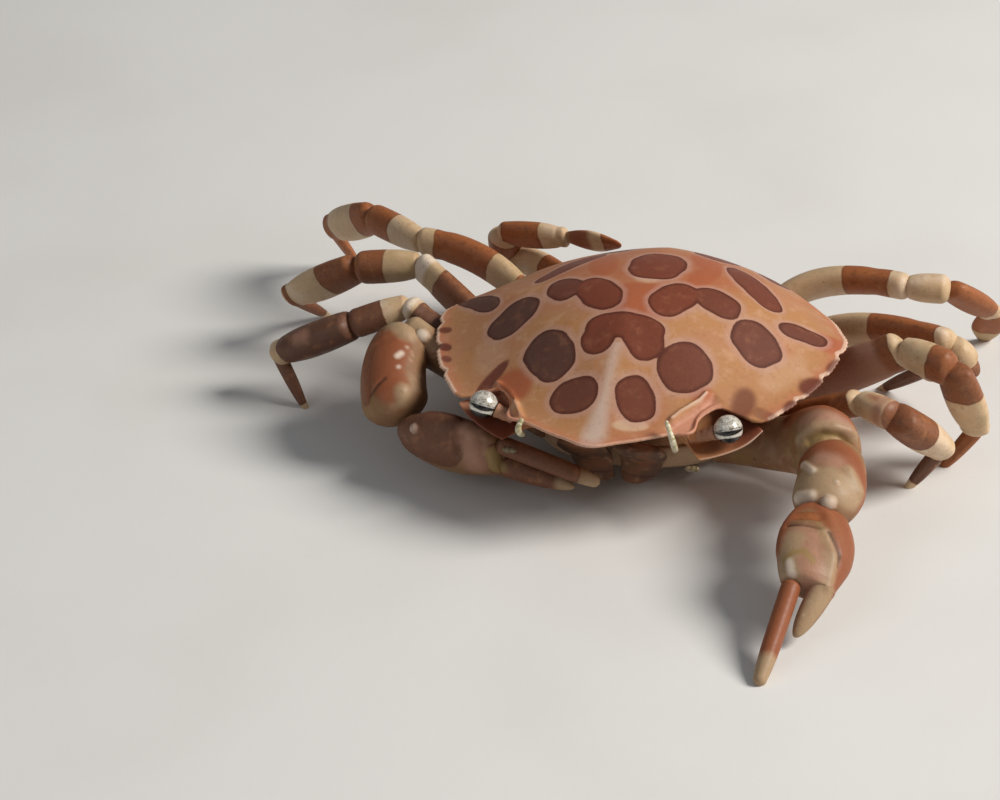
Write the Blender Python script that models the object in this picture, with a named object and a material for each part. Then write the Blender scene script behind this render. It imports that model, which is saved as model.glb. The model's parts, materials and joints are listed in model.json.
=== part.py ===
"""Harlequin crab as a life-size still model, resting on the floor with one claw stretched forward.

The crab faces -Y, its left side is at +X, and +Z is up. Sizes and places are in millimetres
from the middle of the shell's widest line, at the level of the shell's edge, and meshes are
written in metres. At the end the whole crab is moved so that the middle of its outline stands
on the origin.
"""

import math

import bmesh
import bpy
from mathutils import Vector

MILLIMETRE = 0.001
GAP = 0.3
FLOOR = -8.0
SIDES = (("left", 1), ("right", -1))

# Shell: a dome on a thin edge, drawn by directions counted in degrees from the front.
# DOME_RADIUS is the smooth outline that the dome follows, and MARGIN_RADIUS is the true edge,
# which dips in beside the front and at the eye sockets. The whole dome leans a little, so that
# its left side stands higher.
SHELL_CENTRE = Vector((0.0, -1.5, 0.0))
DOME_HEIGHT = 5.3
FRONT_REACH = 13.9
SIDE_REACH = 15.1
REAR_REACH = 13.0
EDGE_THICKNESS = 0.25
BEHIND_SOCKETS = (
    (62, 14.0), (74, 14.4), (85, 14.8), (96, SIDE_REACH), (101, 14.7), (108, 14.3), (120, 13.7),
    (135, 13.3), (150, 13.1), (165, REAR_REACH), (180, REAR_REACH),
)
DOME_RADIUS = ((0, FRONT_REACH), (9, 13.2), (20, 12.7), (32, 12.8), (45, 13.3)) + BEHIND_SOCKETS
MARGIN_RADIUS = (
    (0, FRONT_REACH), (4, 13.7), (9, 13.15), (15, 12.85), (21, 12.6), (26.5, 12.55), (31, 12.8),
    (33.5, 12.5), (36, 11.75), (40, 11.35), (46, 11.35), (50, 12.4), (53.5, 13.7),
) + BEHIND_SOCKETS
MARGIN_HEIGHT = (
    (0, 0.25), (30, 0.3), (55, 0.0), (75, 0.35), (95, 1.0), (120, 0.2), (150, -0.8), (180, -1.0),
)
DOME_POWER = ((0, 1.8), (60, 1.6), (95, 1.25), (130, 0.75), (180, 0.5))
SIDE_LEAN = 0.02
LOBE_NOTCHES = (68.0, 80.0, 90.0)
NOTCH_DEPTH = 0.45
NOTCH_WIDTH = 1.6
DOME_RINGS = (0.22, 0.42, 0.6, 0.75, 0.87, 0.95, 0.99)

# Eye sockets: a slot between the shell's edge and a shelf under the eye, which rises outward.
SOCKET_FROM = 31.5
SOCKET_TO = 56.0
SOCKET_FADE = 2.5
SOCKET_WALL = 10.75
SHELF_REACH = 13.0
SHELF_TOP = -1.6
SHELF_RISE = 1.0
SHELF_RISE_FROM = 44.0
SHELF_THICKNESS = 0.5
SHELF_UNDER = SHELF_TOP - SHELF_THICKNESS

# Underside: the breast plate, the mouth field in front of it and the tail folded beneath.
BREAST_CENTRE = Vector((0.0, 0.9, 0.0))
BREAST_HALF_WIDTH = 8.2
BREAST_HALF_LENGTH = 8.3
BREAST_SQUARENESS = 2.5
BREAST_TOP = -4.7
BREAST_BOTTOM = -6.6
FLANK_BOTTOM = BREAST_TOP + GAP
MOUTH_TOP = Vector((0.0, -10.3, -1.5))
MOUTH_BOTTOM = Vector((0.0, -7.9, FLANK_BOTTOM))
MOUTH_PLATE_HALF_THICKNESS = 0.45
MOUTH_PLATE_FOOT = ((-7.75, -5.6, 1.3), (-7.75, -6.2, 0.8))

# The tail's path and half width, from its root behind the shell to its tip under the breast.
TAIL_ALONG = ((0.0, 9.1), (0.1, 10.05), (0.25, 10.2), (0.37, 9.9), (0.5, 8.3), (0.75, 3.0), (1.0, -4.2))
TAIL_HEIGHT = (
    (0.0, -2.3), (0.1, -3.3), (0.25, -5.3), (0.37, -6.6), (0.5, -7.25), (0.75, -7.25), (1.0, -7.25),
)
TAIL_HALF_WIDTH = ((0.0, 2.6), (0.1, 2.9), (0.25, 2.9), (0.37, 2.8), (0.5, 2.6), (0.75, 1.9), (1.0, 0.7))
TAIL_HALF_THICKNESS = 0.33
TAIL_LENGTHS = 22
TAIL_SIDES = 12

EYE_PLACE = Vector((8.9, -10.75, -0.1))
EYE_RADIUS = 1.02
EYE_SEAT = 0.86
STALK_ROOT = Vector((6.75, -10.85, -0.9))
STALK_RADIUS = 0.42

# Each feeler's root, its middle and its tip. The antennule hooks up round the shell's front edge,
# and the antenna lies under the inner corner of the eye socket.
FEELER_RADIUS = 0.25
ANTENNULE = ((5.55, -12.75, -0.95), (5.6, -13.55, 0.3), (5.05, -12.85, 1.5))
ANTENNA = ((6.95, -12.4, -2.6), (6.3, -12.5, -2.55), (5.6, -12.55, -2.35))

# Limbs: swelling along a length, as part of the full width, from the near end to the far end.
MERUS_SWELL = ((0.0, 0.46), (0.2, 0.74), (0.55, 1.0), (0.85, 0.97), (1.0, 0.88))
CARPUS_SWELL = ((0.0, 0.72), (0.3, 0.94), (0.7, 1.0), (1.0, 0.95))
PROPODUS_SWELL = ((0.0, 0.88), (0.3, 1.0), (0.65, 0.98), (1.0, 0.7))
DACTYL_SWELL = ((0.0, 1.0), (0.3, 0.96), (0.65, 0.8), (1.0, 0.42))
PADDLE_SWELL = ((0.0, 0.55), (0.3, 0.95), (0.6, 1.0), (1.0, 0.35))
LEG_PIECES = ("merus", "carpus", "propodus", "dactyl")
LEG_SIDES = 10
CLAW_SIDES = 16
LIMB_STATIONS = (0.0, 0.17, 0.35, 0.52, 0.7, 0.86, 1.0)
CAP_STEPS = (0.85, 0.5)

# Each leg: its knee, wrist, ankle and tip in the pose of each side. The tips start a little below
# the floor, and the cut there leaves the small flats that the crab stands on.
TIP_LEVEL = FLOOR - 0.2
LEG_JOINTS = {
    ("leg2", "left"): ((16.8, -4.1, -1.0), (19.8, -5.7, -1.0), (22.4, -2.8, -5.0), (20.0, -3.7, TIP_LEVEL)),
    ("leg3", "left"): ((19.0, 0.2, 1.0), (23.0, -1.3, 0.6), (24.3, 0.1, -5.0), (21.9, -0.5, TIP_LEVEL)),
    ("leg4", "left"): ((21.9, 3.1, 0.1), (22.9, 3.9, -1.9), (19.2, 7.5, -5.0), (15.3, 9.2, TIP_LEVEL)),
    ("leg5", "left"): ((17.0, 11.5, -0.5), (20.2, 11.9, -0.6), (22.6, 15.2, -4.2), (21.6, 17.6, TIP_LEVEL)),
    ("leg2", "right"): (
        (-18.2, 1.3, 0.1), (-22.5, 0.1, -1.4), (-28.4, 0.0, -4.4), (-26.0, -1.5, TIP_LEVEL),
    ),
    ("leg3", "right"): ((-18.9, 6.6, 0.5), (-23.9, 6.1, 0.0), (-29.8, 7.3, -3.8), (-28.6, 12.0, TIP_LEVEL)),
    ("leg4", "right"): (
        (-20.1, 10.8, 0.0), (-25.1, 13.8, 0.0), (-29.9, 17.6, -3.5), (-28.5, 19.6, TIP_LEVEL),
    ),
    ("leg5", "right"): ((-14.8, 14.4, -2.6), (-14.3, 13.2, 0.0), (-9.3, 12.9, 0.3), (-4.9, 12.0, 0.6)),
}

# Where the merus of a bent leg passes half-way from the breast to its knee.
MERUS_MIDDLES = {
    ("leg4", "left"): (12.8, 6.2, -1.7),
    ("leg5", "left"): (8.9, 11.9, -1.8),
    ("leg4", "right"): (-13.2, 9.3, -1.5),
    ("leg5", "right"): (-9.5, 12.6, -3.6),
}
LEG_ROOT_LINE = {"claw": -5.5, "leg2": -2.0, "leg3": 1.5, "leg4": 5.0, "leg5": 7.7}
ROOT_HEIGHT = -5.6

# Half height and half thickness of the merus, carpus, propodus and dactyl of each leg.
LEG_SIZES = {
    "leg2": ((1.3, 0.95), (1.25, 1.15), (1.8, 1.3), (0.62, 0.5)),
    "leg3": ((1.65, 0.95), (1.45, 1.2), (1.6, 1.05), (0.6, 0.48)),
    "leg4": ((1.5, 1.0), (1.3, 1.1), (1.45, 1.0), (0.58, 0.45)),
    "leg5": ((1.35, 1.05), (1.25, 1.1), (1.3, 0.8), (1.1, 0.42)),
}

# Each claw: its elbow, wrist, knuckle and finger tips, and which way its broad face is turned.
CLAW_JOINTS = {
    "left": ((15.9, -9.3, -2.2), (16.5, -15.0, -3.1), (17.1, -22.2, -4.9), (15.2, -29.4, -7.9)),
    "right": ((-17.4, -1.6, -0.4), (-15.8, -8.9, -4.3), (-7.6, -10.8, -4.3), (-0.5, -11.5, -5.2)),
}
LOWER_FINGER_TIP = {"left": (16.7, -24.8, -7.0), "right": (-2.4, -11.2, -6.0)}
CLAW_OUTER_SIDE = {"left": (1.0, 0.0, -0.36), "right": (0.0, 0.3, -1.0)}
CLAW_MERUS = {"left": (2.65, 2.15), "right": (1.4, 1.05)}
CLAW_MERUS_SWELL = ((0.0, 0.27), (0.3, 0.66), (0.6, 0.86), (0.85, 1.1), (1.0, 1.1))
CLAW_MERUS_BOW = {"left": (1.4, 0.6, 0.5), "right": (0.0, 0.0, 0.0)}
CLAW_CARPUS = (2.35, 2.1)
CARPUS_BOW = {"left": (0.3, 0.0, 0.2), "right": (-0.9, 0.0, 0.3)}
PALM = {"left": (2.65, 1.75), "right": (2.4, 1.7)}
PALM_SWELL = ((0.0, 0.45), (0.12, 0.72), (0.35, 0.96), (0.55, 1.0), (0.8, 0.9), (1.0, 0.72))
PALM_STATIONS = (0.0, 0.06, 0.15, 0.3, 0.45, 0.6, 0.75, 0.88, 0.97)
FIXED_FINGER_STATIONS = (0.0, 0.25, 0.5, 0.75, 0.93, 1.0)
FIXED_FINGER_OFFSET = 0.8
FIXED_FINGER = (0.9, 0.95)
FINGER_OFFSET = 1.25
FINGER = (0.66, 0.7)
FINGER_SWELL = ((0.0, 1.0), (0.4, 0.96), (0.75, 0.8), (1.0, 0.5))

CREAM = (0.86, 0.78, 0.62)
BROWN = (0.50, 0.29, 0.17)
ORANGE = (0.80, 0.47, 0.30)
PEACH = (0.88, 0.66, 0.50)
SILVER = (0.80, 0.80, 0.78)
OLIVE = (0.72, 0.70, 0.45)


def shell_material(name, colour, roughness):
    """Makes the plain finish of one node."""
    finish = bpy.data.materials.new(name)
    finish.use_nodes = True
    shader = finish.node_tree.nodes["Principled BSDF"]
    shader.inputs["Base Color"].default_value = (*colour, 1.0)
    shader.inputs["Roughness"].default_value = roughness
    shader.inputs["Metallic"].default_value = 0.0
    return finish


def read_table(table, place):
    """Reads a table of (place, value) pairs along a smooth curve through its points."""
    if place <= table[0][0]:
        return table[0][1]
    if place >= table[-1][0]:
        return table[-1][1]
    last = len(table) - 1
    index = max(i for i in range(last) if table[i][0] <= place)
    before, here = table[max(index - 1, 0)], table[index]
    there, after = table[index + 1], table[min(index + 2, last)]
    span = there[0] - here[0]
    share = (place - here[0]) / span
    slope_here = (there[1] - before[1]) / (there[0] - before[0]) * span
    slope_there = (after[1] - here[1]) / (after[0] - here[0]) * span
    square, cube = share ** 2, share ** 3
    return (
        (2 * cube - 3 * square + 1) * here[1]
        + (cube - 2 * square + share) * slope_here
        + (3 * square - 2 * cube) * there[1]
        + (cube - square) * slope_there
    )


def blend(a, b, share):
    return a + (b - a) * share


def ramp(value, low, high):
    """Rises smoothly from 0 at low to 1 at high."""
    share = min(max((value - low) / (high - low), 0.0), 1.0)
    return share * share * (3.0 - 2.0 * share)


def direction(degrees):
    """A level direction, counted from the front towards +X."""
    turn = math.radians(degrees)
    return Vector((math.sin(turn), -math.cos(turn), 0.0))


def add_node(name, mesh, colour, roughness=0.4):
    """Turns a closed bmesh, in millimetres, into one named object in metres."""
    bmesh.ops.remove_doubles(mesh, verts=mesh.verts, dist=0.002)
    bmesh.ops.dissolve_degenerate(mesh, edges=mesh.edges, dist=0.002)
    bmesh.ops.recalc_face_normals(mesh, faces=mesh.faces)
    bmesh.ops.scale(mesh, vec=(MILLIMETRE,) * 3, verts=mesh.verts)
    data = bpy.data.meshes.new(name)
    mesh.to_mesh(data)
    mesh.free()
    data.shade_smooth()
    data.set_sharp_from_angle(angle=math.radians(40))
    data.materials.append(shell_material(name, colour, roughness))
    node = bpy.data.objects.new(name, data)
    bpy.context.scene.collection.objects.link(node)
    return node


def loft(rings, near_pole=None, far_pole=None):
    """Joins rings of equally many points into one closed skin, with a pole or a flat at each end."""
    mesh = bmesh.new()
    rows = [[mesh.verts.new(point) for point in ring] for ring in rings]
    count = len(rows[0])
    for row, following in zip(rows, rows[1:]):
        for i in range(count):
            j = (i + 1) % count
            mesh.faces.new((row[i], row[j], following[j], following[i]))
    for row, pole in ((rows[0], near_pole), (rows[-1], far_pole)):
        if pole is None:
            mesh.faces.new(row)
            continue
        tip = mesh.verts.new(pole)
        for i in range(count):
            mesh.faces.new((row[i], row[(i + 1) % count], tip))
    bmesh.ops.recalc_face_normals(mesh, faces=mesh.faces)
    return mesh


def oval(centre, across, through, half_across, half_through, sides):
    """A ring of points on an oval, in the plane of two unit directions."""
    turns = [2 * math.pi * i / sides for i in range(sides)]
    return [
        centre + across * (half_across * math.cos(turn)) + through * (half_through * math.sin(turn))
        for turn in turns
    ]


def cut_flat(mesh, point, outward):
    """Cuts off what lies beyond a plane and closes the cut with a flat."""
    everything = mesh.verts[:] + mesh.edges[:] + mesh.faces[:]
    bmesh.ops.bisect_plane(
        mesh, geom=everything, dist=0.0001, plane_co=point, plane_no=outward, clear_outer=True,
    )
    rim = [edge for edge in mesh.edges if edge.is_boundary]
    if rim:
        bmesh.ops.holes_fill(mesh, edges=rim, sides=0)
        bmesh.ops.recalc_face_normals(mesh, faces=mesh.faces)


def limb_length(start, end, across_hint, halves, swell, sides, middle=None, round_ends=(True, True)):
    """One length of a limb: an oval section that swells along a line or arc, with rounded ends."""
    middle = middle or (start + end) / 2
    guide = middle * 2 - (start + end) / 2
    half_across, half_through = halves
    rings = []

    def onward(share):
        return ((guide - start) * (1 - share) + (end - guide) * share).normalized()

    def add_ring(share, factor, beyond=0.0):
        centre = start * (1 - share) ** 2 + guide * (2 * share * (1 - share)) + end * share ** 2
        axis = onward(share)
        across = (across_hint - axis * across_hint.dot(axis)).normalized()
        size = (half_across * factor, half_through * factor)
        rings.append(oval(centre + axis * beyond, across, axis.cross(across), *size, sides))

    near_round = half_through * swell[0][1] * 0.9
    far_round = half_through * swell[-1][1] * 0.9
    if round_ends[0]:
        for step in CAP_STEPS:
            add_ring(0.0, swell[0][1] * math.sqrt(1 - step * step), -step * near_round)
    for share in LIMB_STATIONS:
        add_ring(share, read_table(swell, share))
    if round_ends[1]:
        for step in reversed(CAP_STEPS):
            add_ring(1.0, swell[-1][1] * math.sqrt(1 - step * step), step * far_round)
    near_pole = start - onward(0) * near_round if round_ends[0] else None
    far_pole = end + onward(1) * far_round if round_ends[1] else None
    return loft(rings, near_pole, far_pole)


def mitre(before, joint, after):
    """The unit normal of the plane that halves a bend, pointing onward along the limb."""
    return ((joint - before).normalized() + (after - joint).normalized()).normalized()


def margin_radius(degrees):
    """How far the shell's edge reaches, with its low lobes along the side."""
    radius = read_table(MARGIN_RADIUS, degrees)
    for notch in LOBE_NOTCHES:
        radius -= NOTCH_DEPTH * math.exp(-(((degrees - notch) / NOTCH_WIDTH) ** 2))
    return radius


def breast_point(degrees, height):
    """A point on the breast plate's outline, a squarish oval."""
    turn = math.radians(degrees)
    power = 2 / BREAST_SQUARENESS
    across = math.copysign(abs(math.sin(turn)) ** power, math.sin(turn)) * BREAST_HALF_WIDTH
    along = -math.copysign(abs(math.cos(turn)) ** power, math.cos(turn)) * BREAST_HALF_LENGTH
    return Vector((across, BREAST_CENTRE.y + along, height))


def behind_mouth(point):
    """Moves a point of the underside back to the slanted field that the mouth plates lie on."""
    if point.z > MOUTH_TOP.z + 0.01:
        return point
    share = (MOUTH_TOP.z - point.z) / (MOUTH_TOP.z - MOUTH_BOTTOM.z)
    point.y = max(point.y, blend(MOUTH_TOP.y, MOUTH_BOTTOM.y, share))
    return point


def dome_height(half_turn, radius):
    """The height of the shell's upper face at a distance from its centre."""
    share = min(radius / read_table(DOME_RADIUS, half_turn), 1.0)
    edge = read_table(MARGIN_HEIGHT, half_turn)
    power = read_table(DOME_POWER, half_turn)
    return edge * share ** 2 + DOME_HEIGHT * (1 - share ** 2) ** power


def shell_column(degrees):
    """The shell's section in one direction, from near the middle over the edge to the flank's foot."""
    half_turn = abs(degrees)
    outward = direction(degrees)
    reach = margin_radius(half_turn)
    smooth_reach = read_table(DOME_RADIUS, half_turn)
    edge = dome_height(half_turn, reach)
    socket = ramp(half_turn, SOCKET_FROM, SOCKET_FROM + SOCKET_FADE)
    socket *= 1 - ramp(half_turn, SOCKET_TO - SOCKET_FADE, SOCKET_TO)
    front = 1 - ramp(half_turn, 20, 40)
    wall = min(reach, SOCKET_WALL)
    rise = SHELF_RISE * ramp(half_turn, SHELF_RISE_FROM, SOCKET_TO)

    def place(radius, height):
        point = SHELL_CENTRE + outward * radius + Vector((0.0, 0.0, height))
        point.z += SIDE_LEAN * point.x * ramp(height, SHELF_TOP, 0.0)
        return point

    column = []
    for share in DOME_RINGS:
        radius = share * blend(smooth_reach, reach, ramp(share, 0.5, 0.99))
        column.append(place(radius, dome_height(half_turn, radius)))
    column.append(place(reach, edge - 0.1))
    column.append(place(reach * 0.995, edge - EDGE_THICKNESS))
    column.append(place(blend(reach * 0.95, wall, socket), edge - EDGE_THICKNESS - 0.1))
    shelf = blend(edge - 0.8, min(SHELF_TOP + rise, edge - 0.8), socket)
    column.append(place(blend(reach * 0.9, wall + 0.02, socket), shelf))
    under = blend(blend(0.82, 0.74, front), SHELF_REACH / reach, socket)
    column.append(place(reach * under, blend(-1.4, SHELF_TOP - 0.1 + rise, socket)))
    lower = blend(blend(0.73, 0.68, front), (SHELF_REACH - 0.4) / reach, socket)
    column.append(behind_mouth(place(reach * lower, SHELF_UNDER + rise * socket)))
    for share, height in ((0.6, -3.1), (0.88, -3.8), (1.0, FLANK_BOTTOM)):
        foot = breast_point(degrees, height)
        column.append(behind_mouth(place(reach * lower, height).lerp(foot, share)))
    return column


def build_shell():
    steps = list(range(0, 24, 4)) + list(range(24, 100, 2)) + list(range(100, 181, 6))
    half = [step for step in steps if 0 < step < 180]
    turns = [0] + half + [180] + [-step for step in reversed(half)]
    columns = [shell_column(turn) for turn in turns]
    rings = [list(ring) for ring in zip(*columns)]
    top = SHELL_CENTRE + Vector((0.0, 0.0, DOME_HEIGHT))
    return add_node("carapace", loft(rings, near_pole=top), PEACH, 0.3)


def build_breast():
    turns = range(0, 360, 10)
    levels = ((0.985, BREAST_TOP), (1.0, BREAST_TOP - 0.25), (1.0, -5.9), (0.93, BREAST_BOTTOM))
    rings = []
    for share, height in levels:
        middle = BREAST_CENTRE + Vector((0.0, 0.0, height))
        rings.append([middle.lerp(breast_point(turn, height), share) for turn in turns])
    return add_node("sternum", loft(rings), CREAM)


def build_tail():
    """The abdomen: from under the shell's rear edge, round the back and forward beneath the breast."""
    sideways = Vector((1.0, 0.0, 0.0))

    def middle(share):
        return Vector((0.0, read_table(TAIL_ALONG, share), read_table(TAIL_HEIGHT, share)))

    rings = []
    for i in range(TAIL_LENGTHS + 1):
        share = i / TAIL_LENGTHS
        onward = (middle(share + 0.01) - middle(share - 0.01)).normalized()
        outward = onward.cross(sideways)
        half_width = read_table(TAIL_HALF_WIDTH, share)
        rings.append(oval(middle(share), sideways, outward, half_width, TAIL_HALF_THICKNESS, TAIL_SIDES))
    return add_node("abdomen", loft(rings), CREAM)


def build_mouth_plate(side, sign):
    """One outer mouth plate, flat on the slanted mouth field, from the shell's front to the breast."""
    down = (MOUTH_BOTTOM - MOUTH_TOP).normalized()
    outward = Vector((0.0, down.z, -down.y)).normalized()
    lift = outward * (MOUTH_PLATE_HALF_THICKNESS + GAP)
    outer = Vector((sign, 0.0, 0.0))
    stations = [(MOUTH_TOP + down * 0.8, 1.3), (MOUTH_TOP + down * 1.3, 1.75)]
    stations.append((MOUTH_TOP + down * 2.4, 1.85))
    stations.append((MOUTH_BOTTOM, 1.6))
    for along, height, half_width in MOUTH_PLATE_FOOT:
        stations.append((Vector((0.0, along, height)), half_width))
    rings = []
    for centre, half_width in stations:
        middle = centre + lift + outer * (half_width + GAP)
        rings.append(oval(middle, outer, outward, half_width, MOUTH_PLATE_HALF_THICKNESS, 12))
    return add_node("maxilliped_" + side, loft(rings), BROWN)


def mirrored(point, sign):
    return Vector((point.x * sign, point.y, point.z))


def build_eye(side, sign):
    """A stalk that lies in the socket's slot, and the round eye at its end."""
    root, eye = mirrored(STALK_ROOT, sign), mirrored(EYE_PLACE, sign)
    reach = (eye - root).normalized()
    seat = eye - reach * (EYE_RADIUS * EYE_SEAT)
    swell = ((0.0, 1.0), (1.0, 1.15))
    halves = (STALK_RADIUS, STALK_RADIUS)
    up = Vector((0.0, 0.0, 1.0))
    stalk = limb_length(root, seat - reach * GAP, up, halves, swell, LEG_SIDES, round_ends=(False, False))
    add_node("eyestalk_" + side, stalk, PEACH)
    ball = bmesh.new()
    bmesh.ops.create_uvsphere(ball, u_segments=16, v_segments=10, radius=EYE_RADIUS)
    bmesh.ops.translate(ball, verts=ball.verts, vec=eye)
    cut_flat(ball, seat, -reach)
    return add_node("eye_" + side, ball, SILVER, 0.15)


def build_feelers(side, sign):
    """The short hooked antennule beside the front, and the antenna under the socket."""
    swell = ((0.0, 1.0), (0.5, 1.0), (1.0, 0.7))
    halves = (FEELER_RADIUS, FEELER_RADIUS)
    for name, places, hint in (("antennule", ANTENNULE, (1, 0, 0)), ("antenna", ANTENNA, (0, 0, 1))):
        base, middle, tip = (mirrored(Vector(place), sign) for place in places)
        feeler = limb_length(base, tip, Vector(hint), halves, swell, 8, middle)
        add_node("_".join((name, side)), feeler, OLIVE)


def limb_root(leg, sign):
    """Where a limb leaves the breast plate's side, and the way that side faces."""
    line = LEG_ROOT_LINE[leg]
    share = abs(line - BREAST_CENTRE.y) / BREAST_HALF_LENGTH
    across = BREAST_HALF_WIDTH * (1 - share ** BREAST_SQUARENESS) ** (1 / BREAST_SQUARENESS)
    root = Vector((sign * across, line, ROOT_HEIGHT))
    slope_x = (across / BREAST_HALF_WIDTH) ** (BREAST_SQUARENESS - 1) / BREAST_HALF_WIDTH
    slope_y = math.copysign(share ** (BREAST_SQUARENESS - 1) / BREAST_HALF_LENGTH, line - BREAST_CENTRE.y)
    return root, Vector((sign * slope_x, slope_y, 0.0)).normalized()


def cut_at_joints(mesh, points, index, root_facing):
    """Cuts a length's ends square to its bends, so that it meets its neighbours face to face."""
    start, end = points[index], points[index + 1]
    if index == 0:
        cut_flat(mesh, start + root_facing * GAP, -root_facing)
    else:
        onward = mitre(points[index - 1], start, end)
        cut_flat(mesh, start + onward * (GAP / 2), -onward)
    if index + 2 < len(points):
        onward = mitre(start, end, points[index + 2])
        cut_flat(mesh, end - onward * (GAP / 2), onward)
    cut_flat(mesh, Vector((0.0, 0.0, FLOOR)), Vector((0.0, 0.0, -1.0)))


def build_leg(leg, side, sign):
    """One walking leg of four lengths, flat in the plane of its own bends."""
    root, facing = limb_root(leg, sign)
    points = [root] + [Vector(joint) for joint in LEG_JOINTS[leg, side]]
    swells = (MERUS_SWELL, CARPUS_SWELL, PROPODUS_SWELL, PADDLE_SWELL if leg == "leg5" else DACTYL_SWELL)
    plane = (points[3] - points[1]).cross(points[2] - points[1]).normalized()
    for index, piece in enumerate(LEG_PIECES):
        start, end = points[index], points[index + 1]
        across = plane.cross(end - start)
        rounds = (index > 0, index < 3)
        halves = LEG_SIZES[leg][index]
        middle = MERUS_MIDDLES.get((leg, side)) if index == 0 else None
        middle = Vector(middle) if middle else (start + end) / 2
        length = limb_length(start, end, across, halves, swells[index], LEG_SIDES, middle, rounds)
        cut_at_joints(length, points, index, facing)
        colour = CREAM if piece == "carpus" else BROWN
        add_node("_".join((leg, side, piece)), length, colour)


def build_palm(side, wrist, knuckle, lower_tip, outer):
    """The palm and its fixed finger in one, with a step that the moving finger stands on."""
    axis = (knuckle - wrist).normalized()
    length = (knuckle - wrist).length
    outer = (outer - axis * outer.dot(axis)).normalized()
    face = axis.cross(outer)
    half_width, half_thickness = PALM[side]
    rings = []
    for share in PALM_STATIONS:
        factor = read_table(PALM_SWELL, share)
        centre = wrist + axis * (length * share)
        rings.append(oval(centre, outer, face, half_width * factor, half_thickness * factor, CLAW_SIDES))
    finger_root = wrist + axis * length + outer * FIXED_FINGER_OFFSET
    for share in FIXED_FINGER_STATIONS:
        factor = math.sqrt(1 - 0.93 * share ** 1.6)
        centre = finger_root.lerp(lower_tip, share)
        size = (FIXED_FINGER[0] * factor, FIXED_FINGER[1] * factor)
        rings.append(oval(centre, outer, face, *size, CLAW_SIDES))
    return loft(rings)


def build_claw(side, sign):
    """One claw: merus, carpus, palm with its fixed finger, and the moving finger."""
    root, facing = limb_root("claw", sign)
    elbow, wrist, knuckle, upper_tip = (Vector(joint) for joint in CLAW_JOINTS[side])
    lower_tip = Vector(LOWER_FINGER_TIP[side])
    outer = Vector(CLAW_OUTER_SIDE[side])
    points = [root, elbow, wrist, knuckle]
    up = Vector((0.0, 0.0, 1.0))
    sideways = Vector((1.0, 0.0, 0.0))
    middle = (root + elbow) / 2 + Vector(CLAW_MERUS_BOW[side])
    ends = (False, True)
    merus = limb_length(root, elbow, up, CLAW_MERUS[side], CLAW_MERUS_SWELL, CLAW_SIDES, middle, ends)
    cut_at_joints(merus, points, 0, facing)
    add_node("claw_%s_merus" % side, merus, ORANGE)
    middle = (elbow + wrist) / 2 + Vector(CARPUS_BOW[side])
    carpus = limb_length(elbow, wrist, sideways, CLAW_CARPUS, CARPUS_SWELL, CLAW_SIDES, middle)
    cut_at_joints(carpus, points, 1, facing)
    add_node("claw_%s_carpus" % side, carpus, ORANGE)
    palm = build_palm(side, wrist, knuckle, lower_tip, outer)
    cut_at_joints(palm, [elbow, wrist, knuckle], 1, facing)
    add_node("claw_%s_palm" % side, palm, PEACH)
    axis = (knuckle - wrist).normalized()
    outer = (outer - axis * outer.dot(axis)).normalized()
    finger_root = knuckle - outer * FINGER_OFFSET + axis * GAP
    finger = limb_length(finger_root, upper_tip, outer, FINGER, FINGER_SWELL, 12, round_ends=(False, True))
    cut_flat(finger, finger_root, -axis)
    cut_flat(finger, Vector((0.0, 0.0, FLOOR)), Vector((0.0, 0.0, -1.0)))
    add_node("claw_%s_finger" % side, finger, ORANGE)


def stand_on_origin():
    """Moves the whole crab so that the middle of its outline, at floor level, is the origin."""
    nodes = [node for node in bpy.data.objects if node.type == "MESH"]
    corners = [vertex.co for node in nodes for vertex in node.data.vertices]
    low = Vector([min(corner[i] for corner in corners) for i in range(3)])
    high = Vector([max(corner[i] for corner in corners) for i in range(3)])
    middle = (low + high) / 2
    shift = Vector((-middle.x, -middle.y, -low.z))
    for node in nodes:
        for vertex in node.data.vertices:
            vertex.co += shift


def main():
    for leftover in list(bpy.data.objects):
        bpy.data.objects.remove(leftover)
    build_shell()
    build_breast()
    build_tail()
    for side, sign in SIDES:
        build_mouth_plate(side, sign)
        build_eye(side, sign)
        build_feelers(side, sign)
        build_claw(side, sign)
        for leg in ("leg2", "leg3", "leg4", "leg5"):
            build_leg(leg, side, sign)
    stand_on_origin()


if __name__ == "__main__":
    main()
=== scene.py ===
"""Looks of a life-size harlequin crab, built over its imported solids.

Sizes in this file are millimetres from the middle of the shell's widest line, at the level of the
shell's edge, as in the solids: the crab faces -Y, its left side is at +X, and +Z is up. Points are
turned to metres in the row frame when a mesh is written.
"""

import json
import math

import bmesh
import bpy
import numpy as np
from mathutils import Matrix, Vector

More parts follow.
